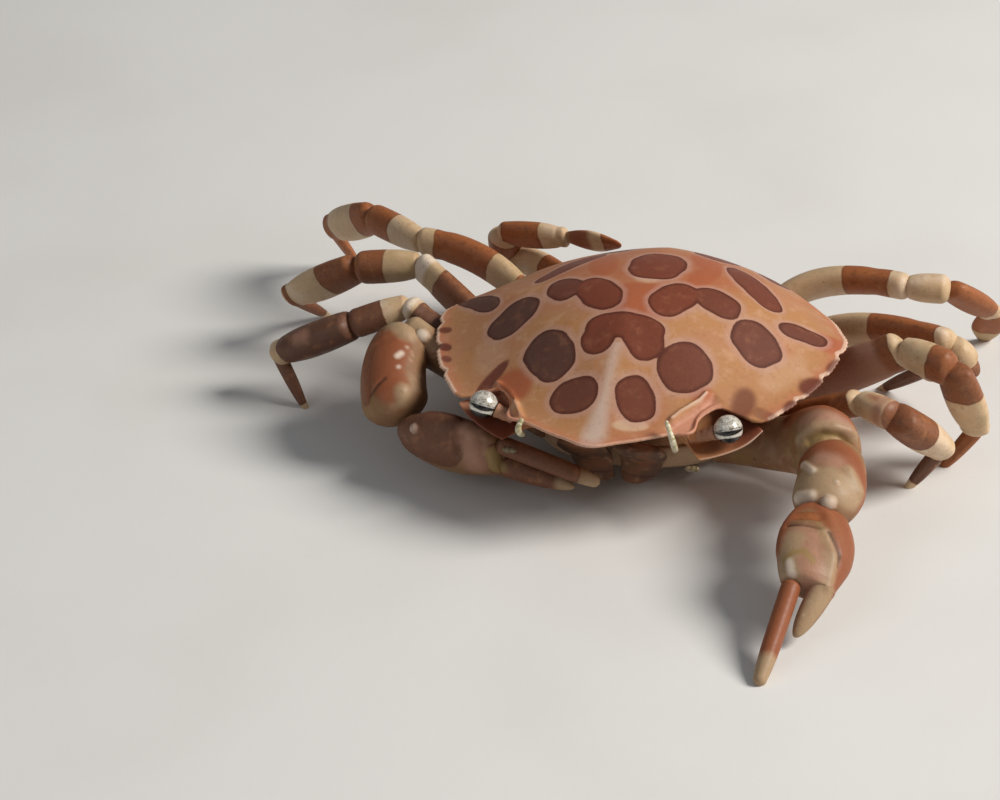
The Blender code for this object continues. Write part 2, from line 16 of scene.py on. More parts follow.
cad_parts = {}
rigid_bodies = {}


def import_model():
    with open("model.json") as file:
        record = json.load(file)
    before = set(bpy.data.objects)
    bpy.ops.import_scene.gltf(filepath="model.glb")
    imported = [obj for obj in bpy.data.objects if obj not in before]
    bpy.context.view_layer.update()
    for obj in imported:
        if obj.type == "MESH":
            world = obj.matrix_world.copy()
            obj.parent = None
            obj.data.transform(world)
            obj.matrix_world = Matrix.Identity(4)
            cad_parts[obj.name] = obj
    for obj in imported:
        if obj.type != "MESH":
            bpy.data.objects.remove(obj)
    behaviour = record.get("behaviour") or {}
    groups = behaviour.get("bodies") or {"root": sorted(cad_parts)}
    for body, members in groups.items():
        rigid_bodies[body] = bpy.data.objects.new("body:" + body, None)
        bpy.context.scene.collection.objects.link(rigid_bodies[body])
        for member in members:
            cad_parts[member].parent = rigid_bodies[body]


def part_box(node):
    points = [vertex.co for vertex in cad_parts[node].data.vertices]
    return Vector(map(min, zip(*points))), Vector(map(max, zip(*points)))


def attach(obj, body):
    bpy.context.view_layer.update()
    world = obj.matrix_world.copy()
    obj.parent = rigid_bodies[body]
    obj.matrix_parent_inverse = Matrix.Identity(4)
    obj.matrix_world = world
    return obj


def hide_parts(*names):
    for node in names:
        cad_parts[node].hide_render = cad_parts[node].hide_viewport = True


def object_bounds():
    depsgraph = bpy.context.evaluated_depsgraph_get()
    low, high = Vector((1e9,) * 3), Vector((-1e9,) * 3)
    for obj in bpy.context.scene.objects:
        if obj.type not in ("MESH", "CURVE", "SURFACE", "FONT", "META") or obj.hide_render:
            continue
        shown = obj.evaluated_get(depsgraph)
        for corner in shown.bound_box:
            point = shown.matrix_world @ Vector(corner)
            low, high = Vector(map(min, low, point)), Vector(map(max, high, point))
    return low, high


for leftover in list(bpy.data.objects):
    bpy.data.objects.remove(leftover)

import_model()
CAD_BOX = np.array(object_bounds())

bl_info = {
    "name": "Harlequin crab",
    "version": (1, 0, 0),
    "blender": (4, 5, 0),
    "location": "3D View > Sidebar > Crab",
    "description": "Builds the shell, limbs and finishes of a harlequin crab over its solids",
    "category": "Add Mesh",
}

MILLIMETRE = 0.001
FLOOR = -8.0
SIDES = (("left", 1), ("right", -1))

# The depth that stands for far outside a mark.
OUTSIDE = -9.0

# The shell, as in the solids: a dome on a thin edge, drawn by directions in degrees from the front.
# Its flank runs in under the edge and joins the breast plate (share of the way there, height).
FRONT_OF_MIDDLE = 15.4
SHELL_CENTRE = np.array((0.0, -1.5, 0.0))
DOME_HEIGHT = 5.3
EDGE_THICKNESS = 0.25
BEHIND_SOCKETS = (
    (62, 14.0), (74, 14.4), (85, 14.8), (96, 15.1), (101, 14.7), (108, 14.3), (120, 13.7),
    (135, 13.3), (150, 13.1), (165, 13.0), (180, 13.0),
)
DOME_RADIUS = ((0, 13.9), (9, 13.2), (20, 12.7), (32, 12.8), (45, 13.3)) + BEHIND_SOCKETS
MARGIN_RADIUS = (
    (0, 13.9), (4, 13.7), (9, 13.15), (15, 12.85), (21, 12.6), (26.5, 12.55), (31, 12.8),
    (33.5, 12.5), (36, 11.75), (40, 11.35), (46, 11.35), (50, 12.4), (53.5, 13.7),
) + BEHIND_SOCKETS
MARGIN_HEIGHT = (
    (0, 0.25), (30, 0.3), (55, 0.0), (75, 0.35), (95, 1.0), (120, 0.2), (150, -0.8), (180, -1.0),
)
DOME_POWER = ((0, 1.8), (60, 1.6), (95, 1.25), (130, 0.75), (180, 0.5))
SIDE_LEAN = 0.02
FRONT_ROUNDING = 4.5
LOBE_NOTCHES = (68.0, 80.0, 90.0)
NOTCH_DEPTH = 0.28
NOTCH_WIDTH = 1.3
SOCKET_FROM = 31.5
SOCKET_TO = 56.0
SOCKET_FADE = 2.5
SOCKET_WALL = 10.75
SHELF_REACH = ((31, 13.0), (40, 13.15), (48, 13.6), (54.5, 13.9))
SHELF_TOP = ((31, -1.65), (40, -1.65), (48, -1.2), (54.5, -0.4))
SHELF_THICKNESS = 0.45
SHELF_FROM = 33.0
SHELF_TO = 55.0
FLANK_BOTTOM = -4.4
DROP_UNDER_EDGE = 0.8
FLANK_TO_BREAST = ((0.6, -3.1), (0.88, -3.8), (1.0, FLANK_BOTTOM))
SHELL_MIDDLE_LEVEL = -1.6

# The underside, as in the solids. The breast plate's brim is given as (share of its outline, height).
# The mouth plates run down a slanted field (way down it, half width) to their end (x, y, z, half
# width).
BREAST_CENTRE = np.array((0.0, 0.9, 0.0))
BREAST_HALF_WIDTH = 8.2
BREAST_HALF_LENGTH = 8.3
BREAST_SQUARENESS = 2.5
BREAST_TOP = -4.7
BREAST_BOTTOM = -6.6
BREAST_GROOVES_BELOW = -6.0
BREAST_BRIM = (
    (0.985, BREAST_TOP), (1.0, BREAST_TOP - 0.15), (1.005, -5.3), (1.0, -5.9), (0.98, -6.35),
    (0.94, -6.55),
)
BREAST_GROOVES = (-3.7, -0.2, 3.3, 6.3)
GROOVE_WIDTH = 0.22
GROOVE_DEPTH = 0.18
MOUTH_TOP = np.array((0.0, -10.3, -1.5))
MOUTH_BOTTOM = np.array((0.0, -7.9, FLANK_BOTTOM))
MOUTH_PLATE_DOWN_FIELD = ((0.8, 1.3), (1.3, 1.75), (2.4, 1.85))
MOUTH_PLATE_END = ((*MOUTH_BOTTOM, 1.6), (0.0, -7.75, -5.6, 1.3), (0.0, -7.75, -6.2, 0.8))
MOUTH_PLATE_LIFT = 0.75
MOUTH_PLATE_HALF_THICKNESS = 0.45
TAIL_ALONG = ((0.0, 9.1), (0.1, 10.05), (0.25, 10.2), (0.37, 9.9), (0.5, 8.3), (0.75, 3.0), (1.0, -4.2))
TAIL_HEIGHT = (
    (0.0, -2.3), (0.1, -3.3), (0.25, -5.3), (0.37, -6.6), (0.5, -7.25), (0.75, -7.25), (1.0, -7.25),
)
TAIL_HALF_WIDTH = ((0.0, 2.6), (0.1, 2.9), (0.25, 2.9), (0.37, 2.8), (0.5, 2.6), (0.75, 1.9), (1.0, 0.7))
TAIL_JOINTS = (0.1, 0.2, 0.31, 0.43, 0.57, 0.75)
TAIL_HALF_THICKNESS = 0.33

# The crests beside the eyes, where the front of the shell folds down into a lobe, seen from above.
CRESTS = (
    (1, ((6.97, -8.95), (6.64, -9.64), (6.08, -10.28), (5.52, -10.94), (5.1, -11.57))),
    (-1, ((-8.37, -9.06), (-7.26, -10.09), (-6.4, -11.2), (-5.6, -12.6))),
)
CREST_HEIGHT = 0.3
CREST_WIDTH = 0.24
LOBE_DROP = 0.3

# The eyes, their stalks and the feelers, as on the left side; the right side's are mirrored. Below a
# thin level line, an eye has a dark band (how far below, half width in its middle, narrowing), a pale
# crescent (how far below, half width), both arched, and a dark lower part.
EYE_PLACE = np.array((8.9, -10.75, -0.1))
EYE_RADIUS = 1.02
EYE_SEAT = 0.86
EYE_UPWARD = np.array((-0.16, 0.5, 0.85))
EYE_SIDEWAYS = np.array((0.95, 0.315, 0.0))
EYE_TILT = {"left": -5.0, "right": 20.0}
EYE_ARCH = 0.2
EYE_LINE_HALF_WIDTH = 0.025
EYE_BAND = (0.3, 0.17, 0.14)
EYE_CRESCENT = (0.56, 0.1)
EYE_DARK_FROM = 0.6
STALK_ROOT = np.array((6.75, -10.85, -0.9))
STALK_RADIUS = 0.42
FEELER_RADIUS = 0.2
FEELER_BEAD = 0.4
FEELER_SWELL = ((0.0, 1.0), (0.5, 1.0), (1.0, 0.7))
BEAD_HEIGHT = 0.045
ANTENNULE_SHADE = 0.35
ANTENNA_SHADE = 1.6
ANTENNULE = {
    "left": ((5.55, -12.75, -0.95), (5.6, -13.5, 0.3), (5.1, -12.95, 1.35)),
    "right": ((5.55, -12.75, -0.95), (5.6, -13.35, -0.2), (5.35, -13.2, 0.5)),
}
ANTENNA = ((6.95, -12.4, -2.6), (6.6, -12.45, -2.6), (6.25, -12.5, -2.55))

# Limbs, as in the solids: joints, half height and half thickness of each length, and swellings.
# The legs' tips lie a little below the floor, which cuts them flat.
TIP_LEVEL = FLOOR - 0.2
LEG_PIECES = ("merus", "carpus", "propodus", "dactyl")
LEG_JOINTS = {
    ("leg2", "left"): ((16.8, -4.1, -1.0), (19.8, -5.7, -1.0), (22.4, -2.8, -5.0), (20.0, -3.7, TIP_LEVEL)),
    ("leg3", "left"): ((19.0, 0.2, 1.0), (23.0, -1.3, 0.6), (24.3, 0.1, -5.0), (21.9, -0.5, TIP_LEVEL)),
    ("leg4", "left"): ((21.9, 3.1, 0.1), (22.9, 3.9, -1.9), (19.2, 7.5, -5.0), (15.3, 9.2, TIP_LEVEL)),
    ("leg5", "left"): ((17.0, 11.5, -0.5), (20.2, 11.9, -0.6), (22.6, 15.2, -4.2), (21.6, 17.6, TIP_LEVEL)),
    ("leg2", "right"): (
        (-18.2, 1.3, 0.1), (-22.5, 0.1, -1.4), (-28.4, 0.0, -4.4), (-26.0, -1.5, TIP_LEVEL),
    ),
    ("leg3", "right"): (
        (-18.9, 6.6, 0.5), (-23.9, 6.1, 0.0), (-29.8, 7.3, -3.8), (-28.6, 12.0, TIP_LEVEL),
    ),
    ("leg4", "right"): (
        (-20.1, 10.8, 0.0), (-25.1, 13.8, 0.0), (-29.9, 17.6, -3.5), (-28.5, 19.6, TIP_LEVEL),
    ),
    ("leg5", "right"): ((-14.8, 14.4, -2.6), (-14.3, 13.2, 0.0), (-9.3, 12.9, 0.3), (-4.9, 12.0, 0.6)),
}
MERUS_MIDDLES = {
    ("leg4", "left"): (12.8, 6.2, -1.7),
    ("leg5", "left"): (8.9, 11.9, -1.8),
    ("leg4", "right"): (-13.2, 9.3, -1.5),
    ("leg5", "right"): (-9.5, 12.6, -3.6),
}
LEG_ROOT_LINE = {"claw": -5.5, "leg2": -2.0, "leg3": 1.5, "leg4": 5.0, "leg5": 7.7}
ROOT_HEIGHT = -5.6
LEG_SIZES = {
    "leg2": ((1.3, 0.95), (1.25, 1.15), (1.8, 1.3), (0.62, 0.5)),
    "leg3": ((1.65, 0.95), (1.45, 1.2), (1.6, 1.05), (0.6, 0.48)),
    "leg4": ((1.5, 1.0), (1.3, 1.1), (1.45, 1.0), (0.58, 0.45)),
    "leg5": ((1.35, 1.05), (1.25, 1.1), (1.3, 0.8), (1.1, 0.42)),
}
MERUS_SWELL = ((0.0, 0.46), (0.2, 0.74), (0.55, 1.0), (0.85, 0.97), (1.0, 0.88))
CARPUS_SWELL = ((0.0, 0.72), (0.3, 0.94), (0.7, 1.0), (1.0, 0.95))
PROPODUS_SWELL = ((0.0, 0.88), (0.3, 1.0), (0.65, 0.98), (1.0, 0.7))
DACTYL_SWELL = ((0.0, 1.0), (0.3, 0.96), (0.65, 0.8), (1.0, 0.42))
PADDLE_SWELL = ((0.0, 0.55), (0.3, 0.95), (0.6, 1.0), (1.0, 0.35))

# The near ends of a leg's lengths (reach beyond the joint, rounding), how far all but the last reach
# beyond their far joints in shares of their half thickness there, and the last one's far end.
NEAR_ENDS = ((0.0, 0.3), (0.12, 0.4), (0.5, 0.7), (0.12, 0.4))
FAR_REACHES = (0.4, 0.1, 0.4)
TIP_END = (0.12, 0.4)

# Claws, as in the solids.
CLAW_JOINTS = {
    "left": ((15.9, -9.3, -2.2), (16.5, -15.0, -3.1), (17.1, -22.2, -4.9), (15.2, -29.4, -7.9)),
    "right": ((-17.4, -1.6, -0.4), (-15.8, -8.9, -4.3), (-7.6, -10.8, -4.3), (-0.5, -11.5, -5.2)),
}
LOWER_FINGER_TIP = {"left": (16.7, -24.8, -7.0), "right": (-2.4, -11.2, -6.0)}
CLAW_OUTER_SIDE = {"left": (1.0, 0.0, -0.36), "right": (0.0, 0.3, -1.0)}
CLAW_MERUS = {"left": (2.65, 2.15), "right": (1.4, 1.05)}
CLAW_MERUS_SWELL = ((0.0, 0.27), (0.3, 0.66), (0.6, 0.86), (0.85, 1.1), (1.0, 1.1))
CLAW_MERUS_BOW = {"left": (1.4, 0.6, 0.5), "right": (0.0, 0.0, 0.0)}
CLAW_CARPUS = (2.35, 2.1)
CLAW_CARPUS_SWELL = ((0.0, 0.6), (0.14, 0.84)) + CARPUS_SWELL[1:]
CARPUS_BOW = {"left": (0.3, 0.0, 0.2), "right": (-0.9, 0.0, 0.3)}
CARPUS_FAR_END = {"left": (1.2, 2.0), "right": (-0.7, 1.7)}
PALM = {"left": (2.65, 1.75), "right": (2.4, 1.7)}
PALM_SWELL = ((0.0, 0.45), (0.12, 0.72), (0.35, 0.96), (0.55, 1.0), (0.8, 0.9), (1.0, 0.72))
KNUCKLE_SHARE = 0.93
FIXED_FINGER_OFFSET = 0.8
FIXED_FINGER = (0.9, 0.95)
FINGER_OFFSET = 1.25
FINGER = (0.66, 0.7)
FINGER_SWELL = ((0.0, 1.0), (0.4, 0.98), (0.75, 0.9), (1.0, 0.62))

# The stage: the floor and the lights (name, place, size, power and tint) in metres, and the camera,
# whose target is in millimetres as above and whose angles are in radians.
FLOOR_HALF_WIDTH = 3.0
FLOOR_BELOW_TIPS = 0.00002
AIR_COLOUR = (0.9, 0.95, 1.0, 1.0)
AIR_STRENGTH = 0.16
LIGHTS = (
    ("key", (0.40, 0.05, 0.32), 0.22, 3.0, (1.0, 0.97, 0.92)),
    ("fill", (-0.30, -0.40, 0.30), 0.40, 0.35, (0.95, 0.97, 1.0)),
)
CAMERA_TARGET = (-7.859, -10.123, 0.0)
CAMERA_AZIMUTH = 0.32099
CAMERA_ELEVATION = 0.54862
CAMERA_ROLL = -0.07047
CAMERA_LENS = 147.22

# How finely the meshes are drawn.
SHELL_COLUMNS = 720
DOME_ROWS = 92
BRIM_ROWS = 22
EDGE_ROWS = 9
LIMB_ROWS = 72
LIMB_SIDES = 48
CLAW_ROWS = 120
CLAW_SIDES = 88
PLATE_SIDES = 56

# The shell's dark spots: middle, half length and half width, turn in degrees, and tone from
# red-brown at 0 to purple-brown at 1.
SPOTS = (
    ((-2.11, -10.82), (1.74, 1.36), 2, 0.55),
    ((2.31, -10.71), (1.69, 1.37), -60, 0.4),
    ((-4.78, -7.5), (2.3, 1.62), -46, 1.0),
    ((5.09, -7.54), (1.95, 1.75), 41, 0.4),
    ((0.3, -5.6), (2.9, 1.1), 1, 0.25),
    ((-1.3, -6.3), (1.65, 1.25), 75, 0.3),
    ((1.75, -6.3), (1.75, 1.4), -50, 0.25),
    ((-5.24, -1.4), (1.5, 1.22), -46, 0.5),
    ((-2.44, -2.38), (2.25, 1.38), -46, 0.2),
    ((3.06, -2.29), (2.06, 1.44), 60, 0.2),
    ((5.98, -1.34), (1.81, 1.28), -21, 0.4),
    ((-8.69, -3.31), (1.98, 1.44), 44, 1.0),
    ((9.25, -3.61), (1.88, 1.58), -37, 0.5),
    ((-12.35, 0.13), (2.6, 0.95), -44, 0.9),
    ((12.09, -1.09), (1.75, 0.76), 8, 0.5),
    ((0.75, 2.2), (2.6, 2.05), -86, 0.2),
    ((7.72, 2.58), (3.37, 1.08), -47, 0.35),
    ((-6.0, 2.8), (3.1, 0.8), 50, 0.35),
    ((-3.5, 6.9), (1.7, 1.2), 28, 0.4),
    ((3.8, 7.4), (1.8, 1.2), -24, 0.3),
    ((0.2, 9.6), (1.6, 0.8), 4, 0.35),
    ((8.2, 6.7), (1.5, 0.9), -48, 0.45),
    ((-8.4, 6.6), (1.5, 0.9), 50, 0.45),
)

# How square the spots are, how softly they run into each other and how far their outlines wave.
SPOT_SQUARENESS = 2.4
SPOT_JOIN = 0.06
SPOT_WAVE = 0.1

# Soft dark marks along the shell's edge and over the eyes: middle, half sizes, turn and strength.
EDGE_MARKS = (
    ((-14.2, -2.5), (0.6, 0.32), -20, 0.8),
    ((-13.7, -4.3), (0.65, 0.34), -30, 0.9),
    ((-13.2, -5.6), (0.55, 0.3), -35, 0.7),
    ((-8.9, -8.35), (1.5, 0.55), 55, 0.9),
    ((14.8, -2.8), (0.9, 0.5), 60, 0.7),
    ((13.7, -5.3), (1.0, 0.8), 40, 1.0),
    ((12.7, -7.8), (0.8, 0.55), 84, 0.8),
    ((9.5, -8.6), (1.4, 0.9), 87, 0.7),
    ((11.2, -9.1), (1.3, 0.6), -20, 0.55),
)

# Redder grounds of the shell, in the same form.
WARM_PLACES = (
    ((0.8, -2.9), (3.0, 2.0), 0, 1.0),
    ((0.0, 3.0), (9.0, 5.0), 0, 0.55),
    ((-7.0, -9.4), (1.6, 1.2), -40, 0.9),
    ((4.3, 1.6), (2.4, 1.0), 79, 0.9),
    ((3.7, 4.6), (2.4, 1.2), -63, 0.9),
    ((-3.4, 2.3), (2.8, 1.4), -72, 0.8),
    ((13.9, -0.9), (1.6, 0.9), 8, 0.9),
    ((6.6, -9.0), (1.0, 0.8), 0, 0.7),
)

# Yellowish cream clouds of the shell, in the same form.
CREAM_PLACES = (
    ((2.4, -12.7), (1.3, 0.5), 10, 0.8),
    ((11.5, -5.0), (2.4, 1.2), 60, 0.4),
    ((-9.5, -6.5), (1.4, 1.8), 30, 0.4),
    ((0.6, -0.2), (1.0, 0.8), 0, 0.7),
    ((4.0, -0.8), (1.6, 0.6), 20, 0.3),
)

# The colours that the limbs' finish can lay over their ground, from the lowest.
LIMB_LAYERS = ("brown", "orange", "pink", "cream", "olive", "ivory", "dark")

# The claws' tone of brown, from brown at 0 to purple-brown at 1. The right claw's purple-brown is painted
# shade, darkening that whole claw.
CLAW_TONE_AND_SHADE = {"left": 0.0, "right": 0.7}

# The lengths of each leg from the body out: tone of brown, and bands (colour, from and to in shares
# of the length).
LEG_BANDS = {
    ("leg2", "left"): (
        (0.25, (("brown", -0.2, 0.97),)),
        (0.5, (("pink", 0.58, 0.84), ("brown", 0.84, 1.4))),
        (0.5, (("brown", -0.2, 0.48),)),
        (0.8, (("brown", -0.1, 0.8),)),
    ),
    ("leg3", "left"): (
        (0.3, (("brown", -0.2, 0.97), ("pink", -0.2, 0.88))),
        (0.3, (("brown", 0.58, 1.4),)),
        (0.45, (("brown", -0.2, 0.4),)),
        (0.05, (("brown", -0.1, 1.1),)),
    ),
    ("leg4", "left"): (
        (0.0, (("brown", 0.1, 0.4), ("brown", 0.7, 0.97))),
        (0.3, (("brown", 1.0, 1.4),)),
        (0.6, (("brown", -0.2, 0.9),)),
        (0.7, (("brown", -0.1, 0.85),)),
    ),
    ("leg5", "left"): (
        (0.0, (("brown", 0.0, 0.35), ("brown", 0.75, 0.95))),
        (0.1, ()),
        (0.1, (("brown", -0.2, 0.9),)),
        (0.2, (("brown", 0.1, 0.6),)),
    ),
    ("leg2", "right"): (
        (0.8, (("brown", -0.2, 0.93), ("ivory", 0.95, 1.3))),
        (0.7, (("brown", 0.38, 1.4),)),
        (0.85, (("brown", -0.2, 0.88),)),
        (0.7, (("brown", 0.0, 0.9),)),
    ),
    ("leg3", "right"): (
        (0.5, (("brown", -0.2, 0.84), ("ivory", 0.92, 1.05))),
        (0.35, (("brown", 0.5, 1.4),)),
        (0.35, (("brown", -0.2, 0.4), ("brown", 0.9, 0.97))),
        (0.4, (("brown", 0.0, 0.8),)),
    ),
    ("leg4", "right"): (
        (0.05, (("brown", 0.1, 0.42), ("brown", 0.58, 0.92))),
        (0.05, (("brown", 0.48, 1.4),)),
        (0.05, (("brown", -0.2, 0.23), ("brown", 0.8, 1.2))),
        (0.2, (("brown", 0.1, 0.8),)),
    ),
    ("leg5", "right"): (
        (0.1, (("brown", 0.0, 0.7),)),
        (0.1, (("brown", 0.1, 0.82),)),
        (0.0, (("brown", 0.0, 0.62),)),
        (0.1, (("orange", 0.05, 0.5), ("brown", 0.7, 1.1))),
    ),
}

# Marks of single lengths: (colour, half width) or None, the (height, half width) of a ridge, knob
# or groove or None, and the places that the mark runs through.
MARKS = {
    "claw_left_merus": (
        (("orange", 0.85), (0.22, 0.7), (
            (12.8, -7.3, -1.0), (13.4, -7.1, -0.4), (14.7, -7.3, 0.3), (17.0, -8.4, -0.4),
        )),
        (("pink", 0.6), None, (
            (13.7, -8.8, 0.0), (14.8, -8.8, 0.5), (16.0, -8.8, 0.3), (16.9, -8.9, -0.4),
        )),
        (("cream", 0.42), (0.22, 0.35), (
            (13.7, -9.8, -0.9), (14.8, -9.6, 0.0), (16.2, -9.2, 0.0), (17.4, -8.6, -0.9),
        )),
        (("dark", 0.13), None, ((9.9, -7.4, -4.5),)),
        (("dark", 0.12), None, ((11.0, -8.1, -4.0),)),
        (("dark", 0.15), None, ((12.3, -9.0, -3.4),)),
        (("olive", 0.34), (-0.25, 0.3), (
            (14.5, -10.2, -0.8), (15.4, -9.9, -0.25), (16.5, -9.5, -0.6), (17.4, -9.3, -1.4),
        )),
    ),
    "claw_left_carpus": (
        (("orange", 1.0), (0.14, 0.9), (
            (14.2, -11.4, -1.8), (15.1, -11.2, -0.8), (16.2, -11.1, -0.4), (17.7, -11.7, -0.8),
            (18.8, -12.8, -2.0), (19.1, -13.8, -2.8),
        )),
        (("pink", 0.7), None, ((15.8, -12.6, -0.5), (17.0, -12.9, -0.5))),
        (("cream", 1.25), None, ((15.0, -14.4, -1.6), (16.6, -14.6, -1.0), (18.2, -14.6, -1.8))),
        (("ivory", 0.27), (0.16, 0.3), ((14.6, -12.4, -1.3), (15.6, -13.8, -0.8))),
        (("ivory", 0.16), (0.14, 0.2), ((17.4, -14.6, -1.0),)),
        (("cream", 0.45), (0.16, 0.45), ((18.0, -13.2, -0.9), (18.8, -13.9, -2.0))),
        (("ivory", 0.45), (0.25, 0.45), ((14.8, -15.2, -2.2), (15.9, -15.6, -1.7))),
        (("olive", 0.3), None, ((14.1, -14.6, -2.4), (14.4, -15.4, -2.6))),
        (("ivory", 0.55), (0.42, 0.55), ((17.1, -15.9, -1.9),)),
    ),
    "claw_left_palm": (
        (("orange", 0.6), (0.16, 0.5), (
            (14.5, -20.2, -3.3), (14.5, -18.4, -2.7), (15.1, -16.5, -2.2), (16.2, -16.0, -1.9),
            (17.1, -16.7, -2.1), (17.8, -18.0, -2.4), (18.7, -19.7, -3.4),
        )),
        (("orange", 0.9), None, (
            (18.0, -16.4, -2.7), (19.0, -18.0, -3.5), (19.2, -20.0, -4.2), (18.7, -22.0, -4.9),
        )),
        (("brown", 0.5), (-0.12, 0.45), ((15.4, -17.6, -2.1), (16.8, -17.5, -2.0))),
        (("pink", 1.35), None, ((16.1, -19.9, -2.4), (16.3, -21.2, -3.0), (16.8, -22.3, -3.9))),
        # The palm's pale centre: its own pale pattern, brightened by a painted highlight.
        (("cream", 0.75), None, ((15.6, -19.8, -2.6), (15.4, -21.6, -3.3), (15.9, -22.4, -3.8))),
        (("ivory", 0.32), None, ((15.6, -21.6, -3.1), (16.0, -22.3, -3.7))),
        (("olive", 0.24), None, (
            (15.2, -21.4, -3.2), (15.7, -20.9, -2.9), (16.5, -20.8, -2.7), (17.2, -21.3, -3.1),
        )),
        (("cream", 0.36), (0.12, 0.35), ((17.5, -18.8, -2.4), (18.4, -20.3, -3.4), (18.4, -22.2, -4.5))),
        (("cream", 0.85), None, ((18.2, -22.6, -4.8), (17.6, -23.6, -5.4), (16.8, -24.8, -6.6))),
        # Brown at the fixed finger's root, between the fingers: painted shade.
        (("brown", 0.5), None, ((16.9, -23.2, -5.4), (16.3, -23.8, -6.0))),
        (("ivory", 0.1), (0.08, 0.12), ((17.5, -23.4, -4.9),)),
        (("ivory", 0.1), (0.08, 0.12), ((17.1, -24.1, -5.6),)),
        (("dark", 0.1), (-0.1, 0.24), ((14.9, -18.5, -2.4), (16.0, -18.6, -2.05), (17.1, -18.6, -2.2))),
        (("dark", 0.14), (-0.1, 0.26), ((17.75, -18.7, -2.45), (18.7, -19.9, -3.4), (18.85, -20.6, -3.8))),
    ),
    "claw_left_finger": (
        (("orange", 1.2), None, ((16.0, -22.6, -4.6), (15.7, -27.0, -6.4))),
        # Brown down the side that faces the fixed finger: painted shade.
        (("brown", 0.3), None, ((16.7, -23.2, -5.1), (16.2, -26.6, -6.6))),
        (("cream", 1.0), None, ((15.5, -28.4, -7.2), (15.3, -29.6, -7.9))),
    ),
    "claw_right_merus": (
        (("cream", 1.1), None, ((-16.5, -2.2, 0.6), (-17.2, -2.4, 0.4))),
        (("ivory", 0.5), (0.3, 0.6), ((-15.9, -2.9, 0.2),)),
    ),
    "claw_right_carpus": (
        (("cream", 1.0), None, ((-17.6, -2.4, 0.6), (-16.8, -3.2, 0.9))),
        (("orange", 1.35), None, ((-17.6, -4.6, 0.3), (-17.5, -6.6, -0.3), (-16.9, -7.8, -1.2))),
        # Brown down the carpus's outer side, away from the light: painted shade.
        (("brown", 0.75), None, ((-18.9, -3.6, 0.0), (-19.3, -6.0, -1.0), (-18.9, -8.4, -2.1))),
        # Ivory flecks on the carpus's lit inner side: painted highlights.
        (("ivory", 0.2), None, ((-16.4, -4.6, 0.3),)),
        (("ivory", 0.26), None, ((-16.7, -5.3, 0.1), (-16.9, -5.6, 0.0))),
        (("ivory", 0.18), None, ((-16.6, -6.4, -0.4),)),
        # A cream patch on a low ridge near the wrist: a painted highlight.
        (("cream", 0.55), (0.2, 0.6), ((-15.9, -7.9, -1.4), (-15.6, -8.7, -1.9))),
        (("dark", 0.1), (-0.14, 0.16), ((-18.3, -8.3, -1.9), (-17.9, -7.9, -1.4), (-17.4, -7.4, -0.9))),
        (None, (0.12, 0.7), ((-17.6, -2.6, 0.6), (-16.8, -3.4, 0.8))),
        (None, (-0.12, 0.35), ((-18.6, -4.4, 0.2), (-17.4, -4.0, 0.8), (-16.2, -4.3, 0.4))),
    ),
    "claw_right_palm": (
        # Brown over the whole base of the right palm: painted shade.
        (("brown", 2.3), None, ((-14.6, -10.2, -3.2), (-12.2, -10.8, -3.2))),
        (("ivory", 0.16), None, ((-12.6, -9.7, -2.0),)),
        (("ivory", 0.34), (0.3, 0.36), ((-14.35, -10.5, -2.9),)),
        (("ivory", 0.34), (0.3, 0.36), ((-13.9, -11.7, -4.6),)),
        (("pink", 0.85), (0.16, 0.6), ((-10.1, -11.0, -2.3), (-9.3, -12.0, -3.7), (-9.6, -12.2, -5.0))),
        (("brown", 0.9), None, ((-8.0, -11.9, -3.6), (-7.7, -11.9, -4.8))),
        (("olive", 0.7), None, ((-8.0, -11.9, -3.7), (-7.8, -11.9, -4.6))),
        # Brown over the right fixed finger: painted shade.
        (("brown", 1.3), None, ((-6.6, -11.5, -5.0), (-4.4, -11.4, -5.4))),
        (("cream", 0.9), None, ((-2.9, -11.2, -5.8), (-2.2, -11.2, -6.0))),
        (None, (0.25, 0.9), ((-13.4, -9.8, -2.2), (-11.6, -10.3, -2.1))),
        (None, (-0.3, 0.32), (
            (-10.9, -9.9, -2.2), (-10.6, -11.2, -2.6), (-10.9, -12.1, -4.0), (-11.2, -12.2, -5.2),
        )),
        (None, (-0.25, 0.28), ((-8.9, -11.5, -2.8), (-8.7, -12.1, -4.0), (-8.6, -12.1, -5.2))),
    ),
    "claw_right_finger": (
        # Brown over the right moving finger: painted shade.
        (("brown", 1.2), None, ((-6.8, -11.6, -3.2), (-2.9, -11.8, -4.4))),
        (("cream", 0.9), None, ((-0.9, -11.5, -5.1), (-0.3, -11.5, -5.3))),
    ),
    "leg2_left_carpus": (
        (("orange", 0.35), None, ((17.6, -4.9, 0.4), (18.2, -5.3, 0.3))),
    ),
    "leg2_right_propodus": (
        (("pink", 0.5), None, ((-26.3, -1.3, -2.0), (-25.7, -1.3, -1.8))),
    ),
}


def linear(code):
    """Turns an sRGB hex colour to the linear colour that Blender's shaders use."""
    shares = [int(code[i:i + 2], 16) / 255 for i in (1, 3, 5)]
    return tuple(s / 12.92 if s <= 0.04045 else ((s + 0.055) / 1.055) ** 2.4 for s in shares)


def length_setting(name, description, metres):
    return bpy.props.FloatProperty(name=name, description=description, default=metres, unit="LENGTH")


def colour_setting(name, description, code):
    return bpy.props.FloatVectorProperty(
        name=name, description=description, subtype="COLOR", size=3, min=0.0, max=1.0,
        default=linear(code),
    )


class CrabSizes(bpy.types.PropertyGroup):
    """Small sizes of the crab's surface, and the camera's distance."""

    bead: length_setting("Edge bead", "Height of the beads along the shell's edge", 0.00009)
    bead_step: length_setting("Bead step", "Distance between the beads of the shell's edge", 0.00045)
    camera_distance: length_setting("Camera distance", "Distance from the camera to the crab", 0.2896)


